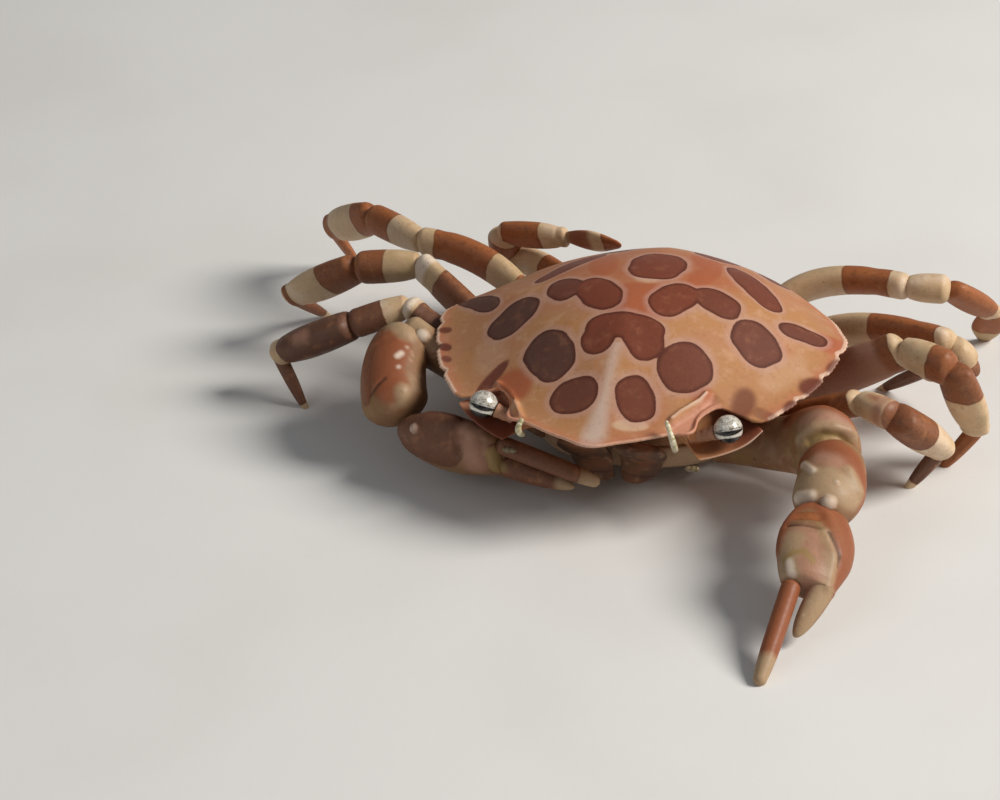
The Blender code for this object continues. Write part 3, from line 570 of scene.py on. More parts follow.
class CrabColours(bpy.types.PropertyGroup):
    """Colours of the crab's finishes."""

    peach: colour_setting("Peach", "Ground of the shell", "#BA845F")
    tan: colour_setting("Tan", "Yellower ground of the shell", "#BB8558")
    orange: colour_setting("Orange", "Redder middle and rear of the shell", "#AE6240")
    ring: colour_setting("Ring", "Pale rings round the spots", "#C59A8C")
    middle_line: colour_setting("Middle line", "Pale line down the shell's front", "#CDB3A4")
    red_spot: colour_setting("Red spot", "Spots in the middle of the shell", "#80402B")
    purple_spot: colour_setting("Purple spot", "Spots at the sides of the shell", "#5F3F33")
    cream: colour_setting("Cream", "Pale bands of the legs", "#CDAF8A")
    ivory: colour_setting("Ivory", "Knobs and rims of the limbs", "#E2CFBB")
    brown: colour_setting("Brown", "Dark bands of the legs", "#9D5D35")
    purple_brown: colour_setting("Purple brown", "Shaded dark bands of the legs", "#664637")
    claw: colour_setting("Claw", "Ground of the claws", "#8C6546")
    rust: colour_setting("Rust", "Orange-brown lobes of the claws", "#905233")
    sand: colour_setting("Sand", "Pale fields of the claws", "#AC9070")
    olive: colour_setting("Olive", "Yellow-green patches of the limbs", "#9A7F4E")
    underside: colour_setting("Underside", "Ground of the underside", "#CDAF8E")
    eye: colour_setting("Eye", "Silvery ground of the eyes", "#D2CCC0")
    feeler: colour_setting("Feeler", "Feelers", "#BDB58A")
    floor: colour_setting("Floor", "Plain floor under the crab", "#E9E7E4")


def row_point(points):
    """Turns points in millimetres to metres in the row frame."""
    low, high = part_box("carapace")
    front = low.y / MILLIMETRE + FRONT_OF_MIDDLE
    middle = (low.x + high.x) / 2 / MILLIMETRE
    return (np.asarray(points, float) + np.array((middle, front, -FLOOR))) * MILLIMETRE


def read_table(table, places):
    """Reads a table of (place, value) pairs along a smooth curve through its points."""
    at, value = np.array(table, float).T
    slope = np.empty_like(value)
    slope[1:-1] = (value[2:] - value[:-2]) / (at[2:] - at[:-2])
    slope[0] = (value[1] - value[0]) / (at[1] - at[0])
    slope[-1] = (value[-1] - value[-2]) / (at[-1] - at[-2])
    places = np.clip(places, at[0], at[-1])
    index = np.clip(np.searchsorted(at, places, "right") - 1, 0, len(at) - 2)
    span = at[index + 1] - at[index]
    share = (places - at[index]) / span
    square, cube = share ** 2, share ** 3
    return (
        (2 * cube - 3 * square + 1) * value[index]
        + (cube - 2 * square + share) * span * slope[index]
        + (3 * square - 2 * cube) * value[index + 1]
        + (cube - square) * span * slope[index + 1]
    )


def blend(a, b, share):
    """Goes from a at share 0 to b at share 1."""
    return a + (b - a) * share


def ramp(value, low, high):
    """Rises smoothly from 0 at low to 1 at high."""
    share = np.clip((value - low) / (high - low), 0.0, 1.0)
    return share * share * (3.0 - 2.0 * share)


def hump(value, middle, width):
    """A smooth bell of height 1."""
    return np.exp(-(((value - middle) / width) ** 2))


def rounded(reach, radius):
    """Share of the full width at some reach from an end that is rounded over a radius."""
    return np.sqrt(1 - np.clip(1 - reach / radius, 0.0, 1.0) ** 2)


def squared(value, power):
    """A sine or cosine, drawn out by a power below 1 so that the outline comes nearer to a square."""
    return np.sign(value) * np.abs(value) ** power


def full_turn(count):
    """Even turns once round, in radians."""
    return np.linspace(0.0, 2 * math.pi, count, endpoint=False)


def unit(vectors):
    """Vectors of length 1 in the same directions."""
    return vectors / np.linalg.norm(vectors, axis=-1, keepdims=True)


def waves(points, size, seed, count=6):
    """Smooth uneven waves of about one size through space, from -1 to 1, the same on every run."""
    draw = np.random.default_rng(seed)
    ways = unit(draw.normal(size=(count, 3))) * (2 * math.pi / size) * draw.uniform(0.7, 1.3, (count, 1))
    starts = draw.uniform(0, 2 * math.pi, count)
    return np.sin(points @ ways.T + starts).sum(-1) / count * 1.4


def oval_depth(points, middle, halves, turn, power=2.0):
    """How far points lie inside a turned oval, in millimetres, seen from above."""
    angle = math.radians(turn)
    x, y = points[..., 0] - middle[0], points[..., 1] - middle[1]
    along = x * math.cos(angle) + y * math.sin(angle)
    beside = y * math.cos(angle) - x * math.sin(angle)
    share = np.abs(along / halves[0]) ** power + np.abs(beside / halves[1]) ** power
    share = share ** (1 / power) + 1e-6
    return (1 / share - 1) * np.hypot(along, beside)


# Meshes


def line_distance(points, line):
    """How far points lie from a line through some places."""
    line = [np.array(place, float) for place in line]
    nearest = np.linalg.norm(points - line[0], axis=-1)
    for one, other in zip(line, line[1:]):
        span = other - one
        share = np.clip(((points - one) @ span) / (span @ span), 0.0, 1.0)
        nearest = np.minimum(nearest, np.linalg.norm(points - one - share[..., None] * span, axis=-1))
    return nearest


def outward_ways(rows):
    """The way out of the skin at each point of its rows."""
    along = np.gradient(rows, axis=0)
    around = np.roll(rows, -1, axis=1) - np.roll(rows, 1, axis=1)
    ways = np.cross(along, around)
    ways = ways / (np.linalg.norm(ways, axis=-1, keepdims=True) + 1e-9)
    from_middle = rows - rows.mean(axis=1, keepdims=True)
    return ways if (ways * from_middle).sum(-1).mean() > 0 else -ways


def with_relief(rows, marks):
    """Raises ridges along lines and knobs at single places, sinks grooves, and stops at the floor."""
    lift = np.zeros(rows.shape[:2])
    for paint, relief, line in marks:
        if relief is None:
            continue
        height, radius = relief
        share = line_distance(rows, line) / radius
        knob = np.sqrt(np.clip(1 - share ** 2, 0.0, 1.0))
        lift += height * (knob if len(line) == 1 else np.exp(-share ** 2 * 1.4))
    rows = rows + outward_ways(rows) * lift[..., None]
    rows[..., 2] = np.maximum(rows[..., 2], FLOOR)
    return rows


def section_rows(centre, across, through, wide, deep):
    """Rows of points round a line, from how far each lies along two ways out of the line."""
    across, through = across[..., None, :], through[..., None, :]
    return centre[:, None] + across * wide[..., None] + through * deep[..., None]


def add_piece(name, rows, measures, finish, node):
    """Makes one closed piece in place of its CAD node, through rows of points that each run round it.

    The measures are what the finish reads at each point.
    """
    count, around = rows.shape[:2]
    index = np.arange(count * around).reshape(count, around)
    beside = np.roll(index, -1, axis=1)
    quads = np.stack((index[:-1], beside[:-1], beside[1:], index[1:]), axis=-1).reshape(-1, 4)
    first = np.full(around, count * around)
    fans = np.concatenate((
        np.stack((beside[0], index[0], first), axis=-1),
        np.stack((index[-1], beside[-1], first + 1), axis=-1),
    ))
    points = np.concatenate((rows.reshape(-1, 3), rows[:1].mean(axis=1), rows[-1:].mean(axis=1)))
    mesh = bpy.data.meshes.new(name)
    mesh.from_pydata(np.clip(row_point(points), *CAD_BOX).tolist(), [], quads.tolist() + fans.tolist())
    for key, value in measures.items():
        value = np.broadcast_to(value, (count, around))
        value = np.concatenate((value.ravel(), [value[0].mean(), value[-1].mean()]))
        mesh.attributes.new(key, "FLOAT", "POINT").data.foreach_set("value", value.astype(np.float32))
    work = bmesh.new()
    work.from_mesh(mesh)
    bmesh.ops.recalc_face_normals(work, faces=work.faces)
    work.to_mesh(mesh)
    work.free()
    mesh.shade_smooth()
    mesh.materials.append(finish)
    piece = bpy.data.objects.new(name, mesh)
    bpy.context.scene.collection.objects.link(piece)
    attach(piece, "root")
    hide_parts(node)


def arc(start, end, middle=None):
    """Start, guide point and end of an arc that passes through middle half-way."""
    start, end = np.array(start, float), np.array(end, float)
    middle = (start + end) / 2 if middle is None else np.array(middle, float)
    return start, middle * 2 - (start + end) / 2, end


def swept_rows(path, hint, halves, swell, size, near, far, relief=None, section=None):
    """Rows of points round an arc, with rounded ends; near and far are (reach beyond, rounding).

    Also gives the share along the arc at each row, and the arc's length.
    """
    start, guide, end = path
    length = np.linalg.norm(guide - start) + np.linalg.norm(end - guide)
    count, sides = size
    full_length = length + near[0] + far[0]
    spread = 0.5 - 0.5 * np.cos(np.linspace(0.0, math.pi, count + 2)[1:-1])
    from_tip = spread * full_length
    share = ((from_tip - near[0]) / length)[:, None]
    held = np.clip(share, 0.0, 1.0)
    centre = start * (1 - held) ** 2 + guide * 2 * held * (1 - held) + end * held ** 2
    onward = unit((guide - start) * (1 - held) + (end - guide) * held)
    centre = centre + onward * (share - held) * length
    hint = np.array(hint, float)
    across = unit(hint - onward * (onward @ hint)[:, None])
    width = read_table(swell, held[:, 0])
    width = width * rounded(from_tip, near[1]) * rounded(full_length - from_tip, far[1])
    turn = full_turn(sides)[None, :]
    flat, deep = section(turn) if section else (np.cos(turn), np.sin(turn))
    wide = flat * halves[0] * width[:, None]
    deep = deep * halves[1] * width[:, None]
    if relief is not None:
        lift = 1 + relief(share, turn, length) / (np.hypot(wide, deep) + 0.05)
        wide, deep = wide * lift, deep * lift
    return section_rows(centre, across, np.cross(onward, across), wide, deep), share, length


# Finishes


def add(tree, kind, settings, inputs, output=None):
    """Adds a shader node with its settings, feeds its inputs and gives one of its outputs."""
    made = tree.nodes.new(kind)
    for name, value in settings.items():
        setattr(made, name, value)
    for name, value in inputs.items():
        if isinstance(name, int):
            socket = made.inputs[name]
        else:
            socket = next(s for s in made.inputs if s.enabled and s.name == name)
        if isinstance(value, bpy.types.NodeSocket):
            tree.links.new(value, socket)
        elif socket.type == "RGBA":
            socket.default_value = (*value, 1.0)
        else:
            socket.default_value = value
    if output is None:
        return next((socket for socket in made.outputs if socket.enabled), None)
    return made.outputs[output]


def start_finish(name, grains, measures, ragged=()):
    """Starts a material. Gives it with its tree and its sources of pattern by name.

    A grain is (size in millimetres, detail). A ragged measure strays from the mesh's own by a grain:
    (its name, the grain, how far in millimetres).
    """
    material = bpy.data.materials.new(name)
    material.use_nodes = True
    tree = material.node_tree
    tree.nodes.clear()
    place = add(tree, "ShaderNodeTexCoord", {}, {}, "Object")
    source = {}
    for key, (size, detail) in grains.items():
        scale = 1.0 / (size * MILLIMETRE)
        noise = {"Vector": place, "Scale": scale, "Detail": detail, "Roughness": 0.6}
        source[key] = add(tree, "ShaderNodeTexNoise", {}, noise)
    for key in measures:
        source[key] = add(tree, "ShaderNodeAttribute", {"attribute_name": key}, {}, "Fac")
    for key, grain, amount in ragged:
        stray = {0: source[grain], 1: amount, 2: -amount / 2}
        stray = add(tree, "ShaderNodeMath", {"operation": "MULTIPLY_ADD"}, stray)
        source[key] = add(tree, "ShaderNodeMath", {"operation": "ADD"}, {0: source[key], 1: stray})
    return material, tree, source


def lay(made, ground, layers):
    """Lays colours over a ground: (colour, sources to multiply, value at none, value at most, most).

    A colour is a setting, a hex value or a colour laid before.
    """
    material, tree, source = made
    if isinstance(ground, str):
        ground = linear(ground)
    for colour, names, low, high, most in layers:
        if isinstance(colour, str):
            colour = linear(colour)
        first, *others = names.split()
        value = source[first]
        for name in others:
            value = add(tree, "ShaderNodeMath", {"operation": "MULTIPLY"}, {0: value, 1: source[name]})
        ends = (0.0, most)
        if low > high:
            low, high, ends = high, low, (most, 0.0)
        limits = {"Value": value, "From Min": low, "From Max": high, "To Min": ends[0], "To Max": ends[1]}
        share = add(tree, "ShaderNodeMapRange", {"interpolation_type": "SMOOTHSTEP"}, limits)
        inputs = {"Factor": share, "A": ground, "B": colour}
        ground = add(tree, "ShaderNodeMix", {"data_type": "RGBA"}, inputs)
    return ground


def close_finish(made, colour, relief, roughness, settings):
    """Gives a material its surface: relief is (grain names, depth in millimetres), roughness a range."""
    material, tree, source = made
    names, depth = relief
    height = source[names[0]]
    for name in names[1:]:
        height = add(tree, "ShaderNodeMath", {"operation": "ADD"}, {0: height, 1: source[name]})
    bump = {"Height": height, "Distance": depth * MILLIMETRE, "Strength": 0.6}
    normal = add(tree, "ShaderNodeBump", {}, bump)
    limits = {"Value": source[names[0]], "From Min": 0.3, "From Max": 0.7}
    limits["To Min"], limits["To Max"] = roughness
    inputs = {"Base Color": colour, "Normal": normal, **settings}
    inputs["Roughness"] = add(tree, "ShaderNodeMapRange", {}, limits)
    shader = add(tree, "ShaderNodeBsdfPrincipled", {}, inputs)
    add(tree, "ShaderNodeOutputMaterial", {}, {"Surface": shader})
    return material


# Lit flesh shows a little through the thin shell.
SHELL_BODY = {
    "IOR": 1.5, "Specular IOR Level": 0.3, "Coat Weight": 0.06, "Coat Roughness": 0.3,
    "Subsurface Weight": 0.12, "Subsurface Radius": (0.8, 0.35, 0.2), "Subsurface Scale": 0.5 * MILLIMETRE,
}


# Chitin hardened with lime, new from the moult. It gives the eye a smooth, softly shining skin with
# some depth, whose spots lie in the shell itself with darker rims and paler ground around them.
def spotted_shell(colours):
    grains = {"broad": (5.0, 2.0), "medium": (1.2, 3.0), "fine": (0.35, 3.0), "dust": (0.12, 2.0)}
    measures = (
        "spot", "tone", "middle_line", "warm", "edge", "dark", "yellow", "cream", "rim", "plate", "orbit_red_and_shade",
        "rear",
    )
    made = start_finish("hardened_chitin_spotted", grains, measures, (("spot", "fine", 0.1),))
    spots = lay(made, colours.red_spot, (
        (colours.purple_spot, "tone", 0.0, 1.0, 1.0),
        ("#A56A4E", "medium", 0.5, 0.75, 0.35),
        ("#4A241A", "fine", 0.5, 0.3, 0.35),
        ("#4A1F14", "spot", 0.38, 0.04, 0.7),
    ))
    colour = lay(made, colours.peach, (
        (colours.tan, "broad", 0.42, 0.6, 1.0),
        (colours.tan, "yellow", 0.0, 1.0, 0.8),
        ("#B9734A", "broad", 0.48, 0.32, 0.5),
        ("#D3A88A", "medium", 0.5, 0.72, 0.4),
        (colours.orange, "warm", 0.1, 0.9, 1.0),
        ("#D6B394", "cream", 0.1, 0.9, 0.8),
        (colours.middle_line, "middle_line", -0.5, 0.6, 0.85),
        ("#A8705A", "rear", 0.0, 1.0, 0.75),
        (colours.ring, "spot", -0.6, -0.1, 0.5),
        ("#C6765A", "edge", 1.1, 0.3, 0.45),
        ("#E3C4AC", "edge", 0.3, 0.1, 0.75),
        ("#6B3226", "dark", 0.1, 0.9, 0.9),
        ("#C98D72", "plate", 0.0, 1.0, 0.95),
        # The eye sockets' red-brown: their own colour, deepened by painted shade in the hollows.
        ("#7A3A28", "orbit_red_and_shade", 0.0, 1.0, 0.9),
        ("#DFC2AA", "rim", -0.02, 0.12, 0.85),
        (spots, "spot", -0.04, 0.05, 1.0),
        ("#8C5A44", "fine", 0.46, 0.3, 0.22),
    ))
    return close_finish(made, colour, (("fine", "dust"), 0.02), (0.46, 0.6), SHELL_BODY)


# The same hardened chitin on the limbs. Cream and brown bands meet at crisp, slightly uneven lines,
# the brown darkens beside the cream, and fine specks of brown lie in the cream.
def banded_shell(colours, name, ground, pale, clouds):
    grains = {"broad": (3.0, 2.0), "medium": (0.9, 3.0), "fine": (0.28, 3.0), "dust": (0.1, 2.0)}
    ragged = tuple((layer, "medium", 0.3) for layer in ("brown", "orange", "olive", "cream", "pink"))
    made = start_finish(name, grains, ("tone", "speck") + LIMB_LAYERS, ragged)
    browns = lay(made, colours.brown, (
        (colours.purple_brown, "tone", 0.0, 1.0, 1.0),
        ("#B07A50", "medium", 0.5, 0.75, 0.45),
        ("#3B2014", "fine", 0.5, 0.3, 0.35),
        ("#54301C", "brown", 0.3, 0.02, 0.35),
    ))
    colour = lay(made, ground, (
        (colours.olive, "broad", 0.5, 0.3, 0.4),
        (clouds, "broad", 0.5, 0.68, 0.4),
        ("#C79A7E", "medium", 0.55, 0.72, 0.4),
        (colours.brown, "medium", 0.42, 0.28, 0.25),
        (browns, "brown", -0.05, 0.08, 1.0),
        (colours.rust, "orange", -0.3, 0.3, 0.9),
        ("#8A4A2C", "orange medium", 0.15, 0.45, 0.35),
        ("#AC7F68", "pink", -0.45, 0.45, 0.85),
        (pale, "cream", -0.35, 0.35, 0.9),
        (colours.olive, "olive", -0.2, 0.2, 0.8),
        (colours.ivory, "ivory", -0.16, 0.22, 0.9),
        ("#3E2418", "dark", -0.12, 0.1, 0.75),
        (colours.brown, "speck fine", 0.28, 0.34, 0.5),
        ("#7A5238", "fine", 0.46, 0.3, 0.2),
    ))
    return close_finish(made, colour, (("fine", "dust"), 0.03), (0.44, 0.6), SHELL_BODY)


# Thinner chitin under the body: pale and almost even, dull, with brown specks and darker grooves.
def pale_shell(colours):
    grains = {"broad": (3.0, 2.0), "medium": (0.9, 3.0), "fine": (0.25, 3.0)}
    made = start_finish("thin_chitin_pale", grains, ("dark",))
    colour = lay(made, colours.underside, (
        ("#B98A68", "broad", 0.45, 0.7, 0.5),
        ("#8A5F44", "fine", 0.6, 0.68, 0.35),
        ("#4A2F22", "dark", 0.0, 1.0, 1.0),
    ))
    settings = {
        "IOR": 1.5, "Specular IOR Level": 0.3, "Subsurface Weight": 0.1,
        "Subsurface Scale": 0.5 * MILLIMETRE,
    }
    return close_finish(made, colour, (("fine", "medium"), 0.03), (0.5, 0.65), settings)


# The eye's outer skin of tiny lenses: silvery and wet, with dark bands across it.
def banded_eye(colours):
    grains = {"medium": (0.35, 3.0), "fine": (0.12, 3.0)}
    made = start_finish("facet_cornea_silver", grains, ("band", "crescent"), (("band", "fine", 0.05),))
    colour = lay(made, colours.eye, (
        ("#8A8072", "medium", 0.42, 0.62, 0.85),
        ("#F2EEE4", "fine", 0.52, 0.66, 0.8),
        ("#17120F", "band", -0.03, 0.03, 1.0),
        ("#E9E4D8", "crescent fine", 0.3, 0.42, 0.95),
    ))
    settings = {"IOR": 1.4, "Coat Weight": 0.6, "Coat Roughness": 0.08, "Metallic": 0.15}
    return close_finish(made, colour, (("fine", "medium"), 0.02), (0.2, 0.34), settings)


# Soft, slightly see-through chitin of the feelers: whitish green, beaded, catching light at its edges.
def feeler_shell(colours):
    grains = {"medium": (0.4, 3.0), "fine": (0.12, 3.0)}
    made = start_finish("soft_chitin_translucent", grains, ("dark",))
    colour = lay(made, colours.feeler, (
        ("#EDE6D0", "medium", 0.42, 0.62, 0.85),
        ("#6B5B3A", "dark", 0.0, 1.0, 1.0),
    ))
    settings = {
        "IOR": 1.5, "Subsurface Weight": 0.3, "Subsurface Scale": 0.4 * MILLIMETRE, "Coat Weight": 0.2,
    }
    return close_finish(made, colour, (("fine", "medium"), 0.03), (0.3, 0.42), settings)


# Uncoated paper roll: pale and dull, with a faint broad unevenness.
def paper_floor(colours):
    made = start_finish("matt_paper_floor", {"broad": (30.0, 2.0), "fibre": (1.5, 3.0)}, ())
    colour = lay(made, colours.floor, (("#DAD7D2", "broad", 0.4, 0.7, 0.4),))
    return close_finish(made, colour, (("fibre",), 0.02), (0.85, 0.95), {"IOR": 1.3})


# The shell


def shell_direction(degrees):
    """Level directions, counted from the front towards +X."""
    turn = np.radians(degrees)
    return np.stack((np.sin(turn), -np.cos(turn), np.zeros_like(turn)), axis=-1)


def margin_radius(half_turn):
    """How far the shell's edge lies from its middle, with the notches between its side lobes."""
    notches = sum(hump(half_turn, notch, NOTCH_WIDTH) for notch in LOBE_NOTCHES)
    return read_table(MARGIN_RADIUS, half_turn) - NOTCH_DEPTH * notches


def dome_height(half_turn, radius):
    """The height of the shell's top at some distance from its middle."""
    share = np.minimum(radius / read_table(DOME_RADIUS, half_turn), 1.0)
    edge = read_table(MARGIN_HEIGHT, half_turn)
    return edge * share ** 2 + DOME_HEIGHT * (1 - share ** 2) ** read_table(DOME_POWER, half_turn)


def breast_outline(turn):
    """The breast plate's outline, a squarish oval, at turns counted from the front."""
    power = 2 / BREAST_SQUARENESS
    x = squared(np.sin(turn), power) * BREAST_HALF_WIDTH
    y = -squared(np.cos(turn), power) * BREAST_HALF_LENGTH
    return np.stack((x, y + BREAST_CENTRE[1], np.zeros_like(x)), axis=-1)


def behind_mouth(points):
    """Moves points of the underside back to the slanted field that the mouth plates lie on."""
    share = (MOUTH_TOP[2] - points[..., 2]) / (MOUTH_TOP[2] - MOUTH_BOTTOM[2])
    field = blend(MOUTH_TOP[1], MOUTH_BOTTOM[1], share)
    low = points[..., 2] <= MOUTH_TOP[2] + 0.01
    points[..., 1] = np.where(low, np.maximum(points[..., 1], field), points[..., 1])
    return points


def edge_beads(half_turn, reach, sizes):
    """How far the beads stand out of the shell's edge, in millimetres."""
    step = sizes.bead_step / MILLIMETRE
    stride = math.radians(360.0 / SHELL_COLUMNS)
    run = np.concatenate(([0.0], np.cumsum(np.hypot(np.diff(reach), stride * reach[1:]))))
    bead = np.abs(np.sin(math.pi * run / step)) ** 1.5 * sizes.bead / MILLIMETRE
    return bead * (0.3 + 0.7 * ramp(half_turn, 45, 65))


def shell_rows(sizes):
    """Rows of points from the shell's top over its edge to the foot of its flank.

    Also gives how far inside the edge each point lies, or -1 below it, and each column's turn from the
    front and share in an eye socket.
    """
    degrees = np.linspace(0.0, 360.0, SHELL_COLUMNS, endpoint=False)
    half_turn = np.hypot(np.minimum(degrees, 360.0 - degrees), FRONT_ROUNDING)
    half_turn = np.minimum(half_turn, 180.0)
    outward = shell_direction(degrees)
    reach = margin_radius(half_turn)
    socket = ramp(half_turn, SOCKET_FROM, SOCKET_FROM + SOCKET_FADE)
    socket = socket * (1 - ramp(half_turn, SOCKET_TO - SOCKET_FADE, SOCKET_TO))

    def place(radius, height):
        radius, height = np.broadcast_arrays(radius, height)
        points = SHELL_CENTRE + outward * radius[:, None]
        points[:, 2] += height
        points[:, 2] += SIDE_LEAN * points[:, 0] * ramp(height, SHELL_MIDDLE_LEVEL, 0.0)
        return points

    rows, margin = [], []
    smooth_reach = read_table(DOME_RADIUS, half_turn)
    for share in (*np.linspace(0.012, 0.88, DOME_ROWS), *np.linspace(0.885, 0.985, BRIM_ROWS)):
        radius = share * blend(smooth_reach, reach, ramp(share, 0.5, 0.99))
        rows.append(place(radius, dome_height(half_turn, radius)))
        margin.append(reach - radius)
    edge = dome_height(half_turn, reach)
    bead = edge_beads(half_turn, reach, sizes)
    thick = EDGE_THICKNESS / 2
    for turn in np.radians(np.linspace(90, -90, EDGE_ROWS)):
        height = edge - thick + thick * math.sin(turn)
        rows.append(place(reach - thick + (thick + bead) * math.cos(turn), height))
        margin.append(np.zeros_like(reach))
    edge_count = len(rows)
    rows += flank_rows(degrees, half_turn, reach, edge, socket, place)
    margin += [np.full_like(reach, -1.0)] * (len(rows) - edge_count)
    rows, margin = np.array(rows), np.array(margin)
    for _ in range(2):
        before, here, after = rows[edge_count:-2], rows[edge_count + 1:-1], rows[edge_count + 2:]
        rows[edge_count + 1:-1] = (before + 2 * here + after) / 4
    crest, plate = crest_and_lobe(rows, margin)
    inside = ramp(margin, 0.1, 0.6)
    rows[..., 2] += CREST_HEIGHT * crest * inside - LOBE_DROP * plate * inside
    return rows, margin, half_turn, socket


def flank_rows(degrees, half_turn, reach, edge, socket, place):
    """Rows from under the shell's edge, in by the eye sockets' walls and shelves, to the breast plate."""
    front = 1 - ramp(half_turn, 20, 40)
    wall = np.minimum(reach, SOCKET_WALL)
    shelf_reach = read_table(SHELF_REACH, half_turn)
    shelf_top = read_table(SHELF_TOP, half_turn)
    below_edge = edge - EDGE_THICKNESS
    socket_floor = np.minimum(shelf_top, edge - DROP_UNDER_EDGE)
    shelf_brim = blend(blend(0.82, 0.74, front), (shelf_reach - 0.12) / reach, socket)
    shelf_side = blend(shelf_brim, shelf_reach / reach, socket)
    lower = blend(blend(0.73, 0.68, front), (shelf_reach - 0.45) / reach, socket)
    control = [
        place(reach * 0.985, below_edge),
        place(blend(reach * 0.95, wall, socket), below_edge - 0.1),
        place(blend(reach * 0.9, wall + 0.02, socket), blend(edge - DROP_UNDER_EDGE, socket_floor, socket)),
        place(reach * shelf_brim, blend(-1.4, shelf_top - 0.1, socket)),
        place(reach * shelf_side, blend(-1.45, shelf_top - 0.25, socket)),
        behind_mouth(place(reach * lower, blend(-2.1, shelf_top - SHELF_THICKNESS - 0.1, socket))),
    ]
    foot = breast_outline(np.radians(degrees))
    for share, height in FLANK_TO_BREAST:
        foot[:, 2] = height
        control.append(behind_mouth(blend(place(reach * lower, height), foot, share)))
    shares = np.linspace(0.0, 1.0, 6, endpoint=False)
    rows = [blend(*pair, share) for pair in zip(control, control[1:]) for share in shares]
    return rows + control[-1:]


def crest_and_lobe(rows, margin):
    """Shares of the crest beside each eye and of the lobe beyond it, on the shell's upper face."""
    crest, plate = np.zeros(margin.shape), np.zeros(margin.shape)
    for sign, line in CRESTS:
        crest = np.maximum(crest, np.exp(-(line_distance(rows[..., :2], line) / CREST_WIDTH) ** 2))
        start, end = np.array(line[0]), np.array(line[-1])
        onward = unit(end - start)
        outward = np.array((-onward[1], onward[0])) * sign
        beyond = (rows[..., :2] - start) @ outward
        along = (rows[..., :2] - start) @ onward
        reach = np.linalg.norm(end - start)
        window = ramp(along, -0.8, 0.1) * (1 - ramp(along, reach + 0.2, reach + 1.1))
        plate = np.maximum(plate, ramp(beyond, 0.05, 0.4) * window * (beyond < 3.0))
    return np.where(margin >= 0, (crest, plate), 0.0)


def spot_depth_and_tone(rows):
    """How deep points lie in the nearest of the dark spots, which run softly together, and its tone."""
    joined, tone = 0.0, 0.0
    deepest = OUTSIDE
    for middle, halves, turn, spot_tone in SPOTS:
        depth = oval_depth(rows, middle, halves, turn, SPOT_SQUARENESS)
        tone = np.where(depth > deepest, spot_tone, tone)
        deepest = np.maximum(deepest, depth)
        joined = joined + np.exp(np.clip(depth, -5.0, 5.0) / SPOT_JOIN)
    return SPOT_JOIN * np.log(joined + 1e-30) + SPOT_WAVE * waves(rows, 1.9, 5), tone


def soft_marks(rows, marks):
    """How strongly any of some soft oval marks shows at each point."""
    total = 0.0
    for middle, halves, turn, strength in marks:
        depth = oval_depth(rows, middle, halves, turn)
        total = np.maximum(total, strength * ramp(depth, -0.6 * min(halves), 0.5 * min(halves)))
    return total


def shelf_distance(rows):
    """How far points lie from the edges of the two shelves below the eyes."""
    turn = np.linspace(SHELF_FROM, SHELF_TO, 24)
    line = SHELL_CENTRE + shell_direction(turn) * read_table(SHELF_REACH, turn)[:, None]
    line[:, 2] = read_table(SHELF_TOP, turn) - 0.12
    return np.minimum(line_distance(rows, line), line_distance(rows, line * (-1.0, 1.0, 1.0)))


def shell_measures(rows, margin, half_turn, socket):
    """What the spotted finish reads: depths in millimetres, and shares from 0 to 1."""
    on_top = margin >= 0
    x, y, z = np.moveaxis(rows, -1, 0)
    spot, tone = spot_depth_and_tone(rows)
    crest, plate = crest_and_lobe(rows, margin)
    line = 0.35 + 0.55 * ramp(-y, 9.0, 15.0)
    front = 1 - ramp(half_turn, 25, 50)
    in_socket = np.where(on_top, 0.0, socket * ramp(z, -2.4, -1.9))
    wall = np.where(x < 0, in_socket * ramp(z, -1.4, -0.7), 0.0)
    outer_side = np.where(x > 0, 0.35 + 0.65 * ramp(half_turn, 38.0, 54.0), 1.0)
    rim = crest * 0.3 - np.where(x > 0, 0.22, 0.27)
    return {
        "spot": np.where(on_top, spot, OUTSIDE),
        "tone": tone,
        "middle_line": np.where(on_top & (y < -7.0), line - np.abs(x - 0.1), OUTSIDE),
        "warm": np.where(on_top, soft_marks(rows, WARM_PLACES), 0.0),
        "cream": np.where(on_top, soft_marks(rows, CREAM_PLACES), 0.0),
        "dark": np.where(on_top, soft_marks(rows, EDGE_MARKS), 0.0),
        "edge": np.where(on_top, margin + 3.0 * socket + 0.2 * front, 5.0),
        "yellow": ramp(x, 4.0, 12.0) * ramp(-y, -2.0, 3.0),
        "rim": np.where(x > 0, np.maximum(rim, 0.12 - shelf_distance(rows)), rim),
        "plate": np.maximum(plate, 0.8 * wall),
        # The sockets' red-brown, with painted shade in the hollow.
        "orbit_red_and_shade": (1 - wall) * in_socket * outer_side,
        "rear": np.where(on_top, ramp(half_turn, 105.0, 150.0) * (1 - ramp(margin, 1.0, 5.0)), 0.0),
    }


class CRAB_OT_shell(bpy.types.Operator):
    """Builds the spotted shell, with the beads of its edge and its eye sockets."""

    bl_idname = "crab.shell"
    bl_label = "Shell"

    def execute(self, context):
        rows, margin, half_turn, socket = shell_rows(context.scene.crab_sizes)
        measures = shell_measures(rows, margin, half_turn, socket)
        finish = spotted_shell(context.scene.crab_colours)
        add_piece("carapace_shield", rows, measures, finish, "carapace")
        return {"FINISHED"}


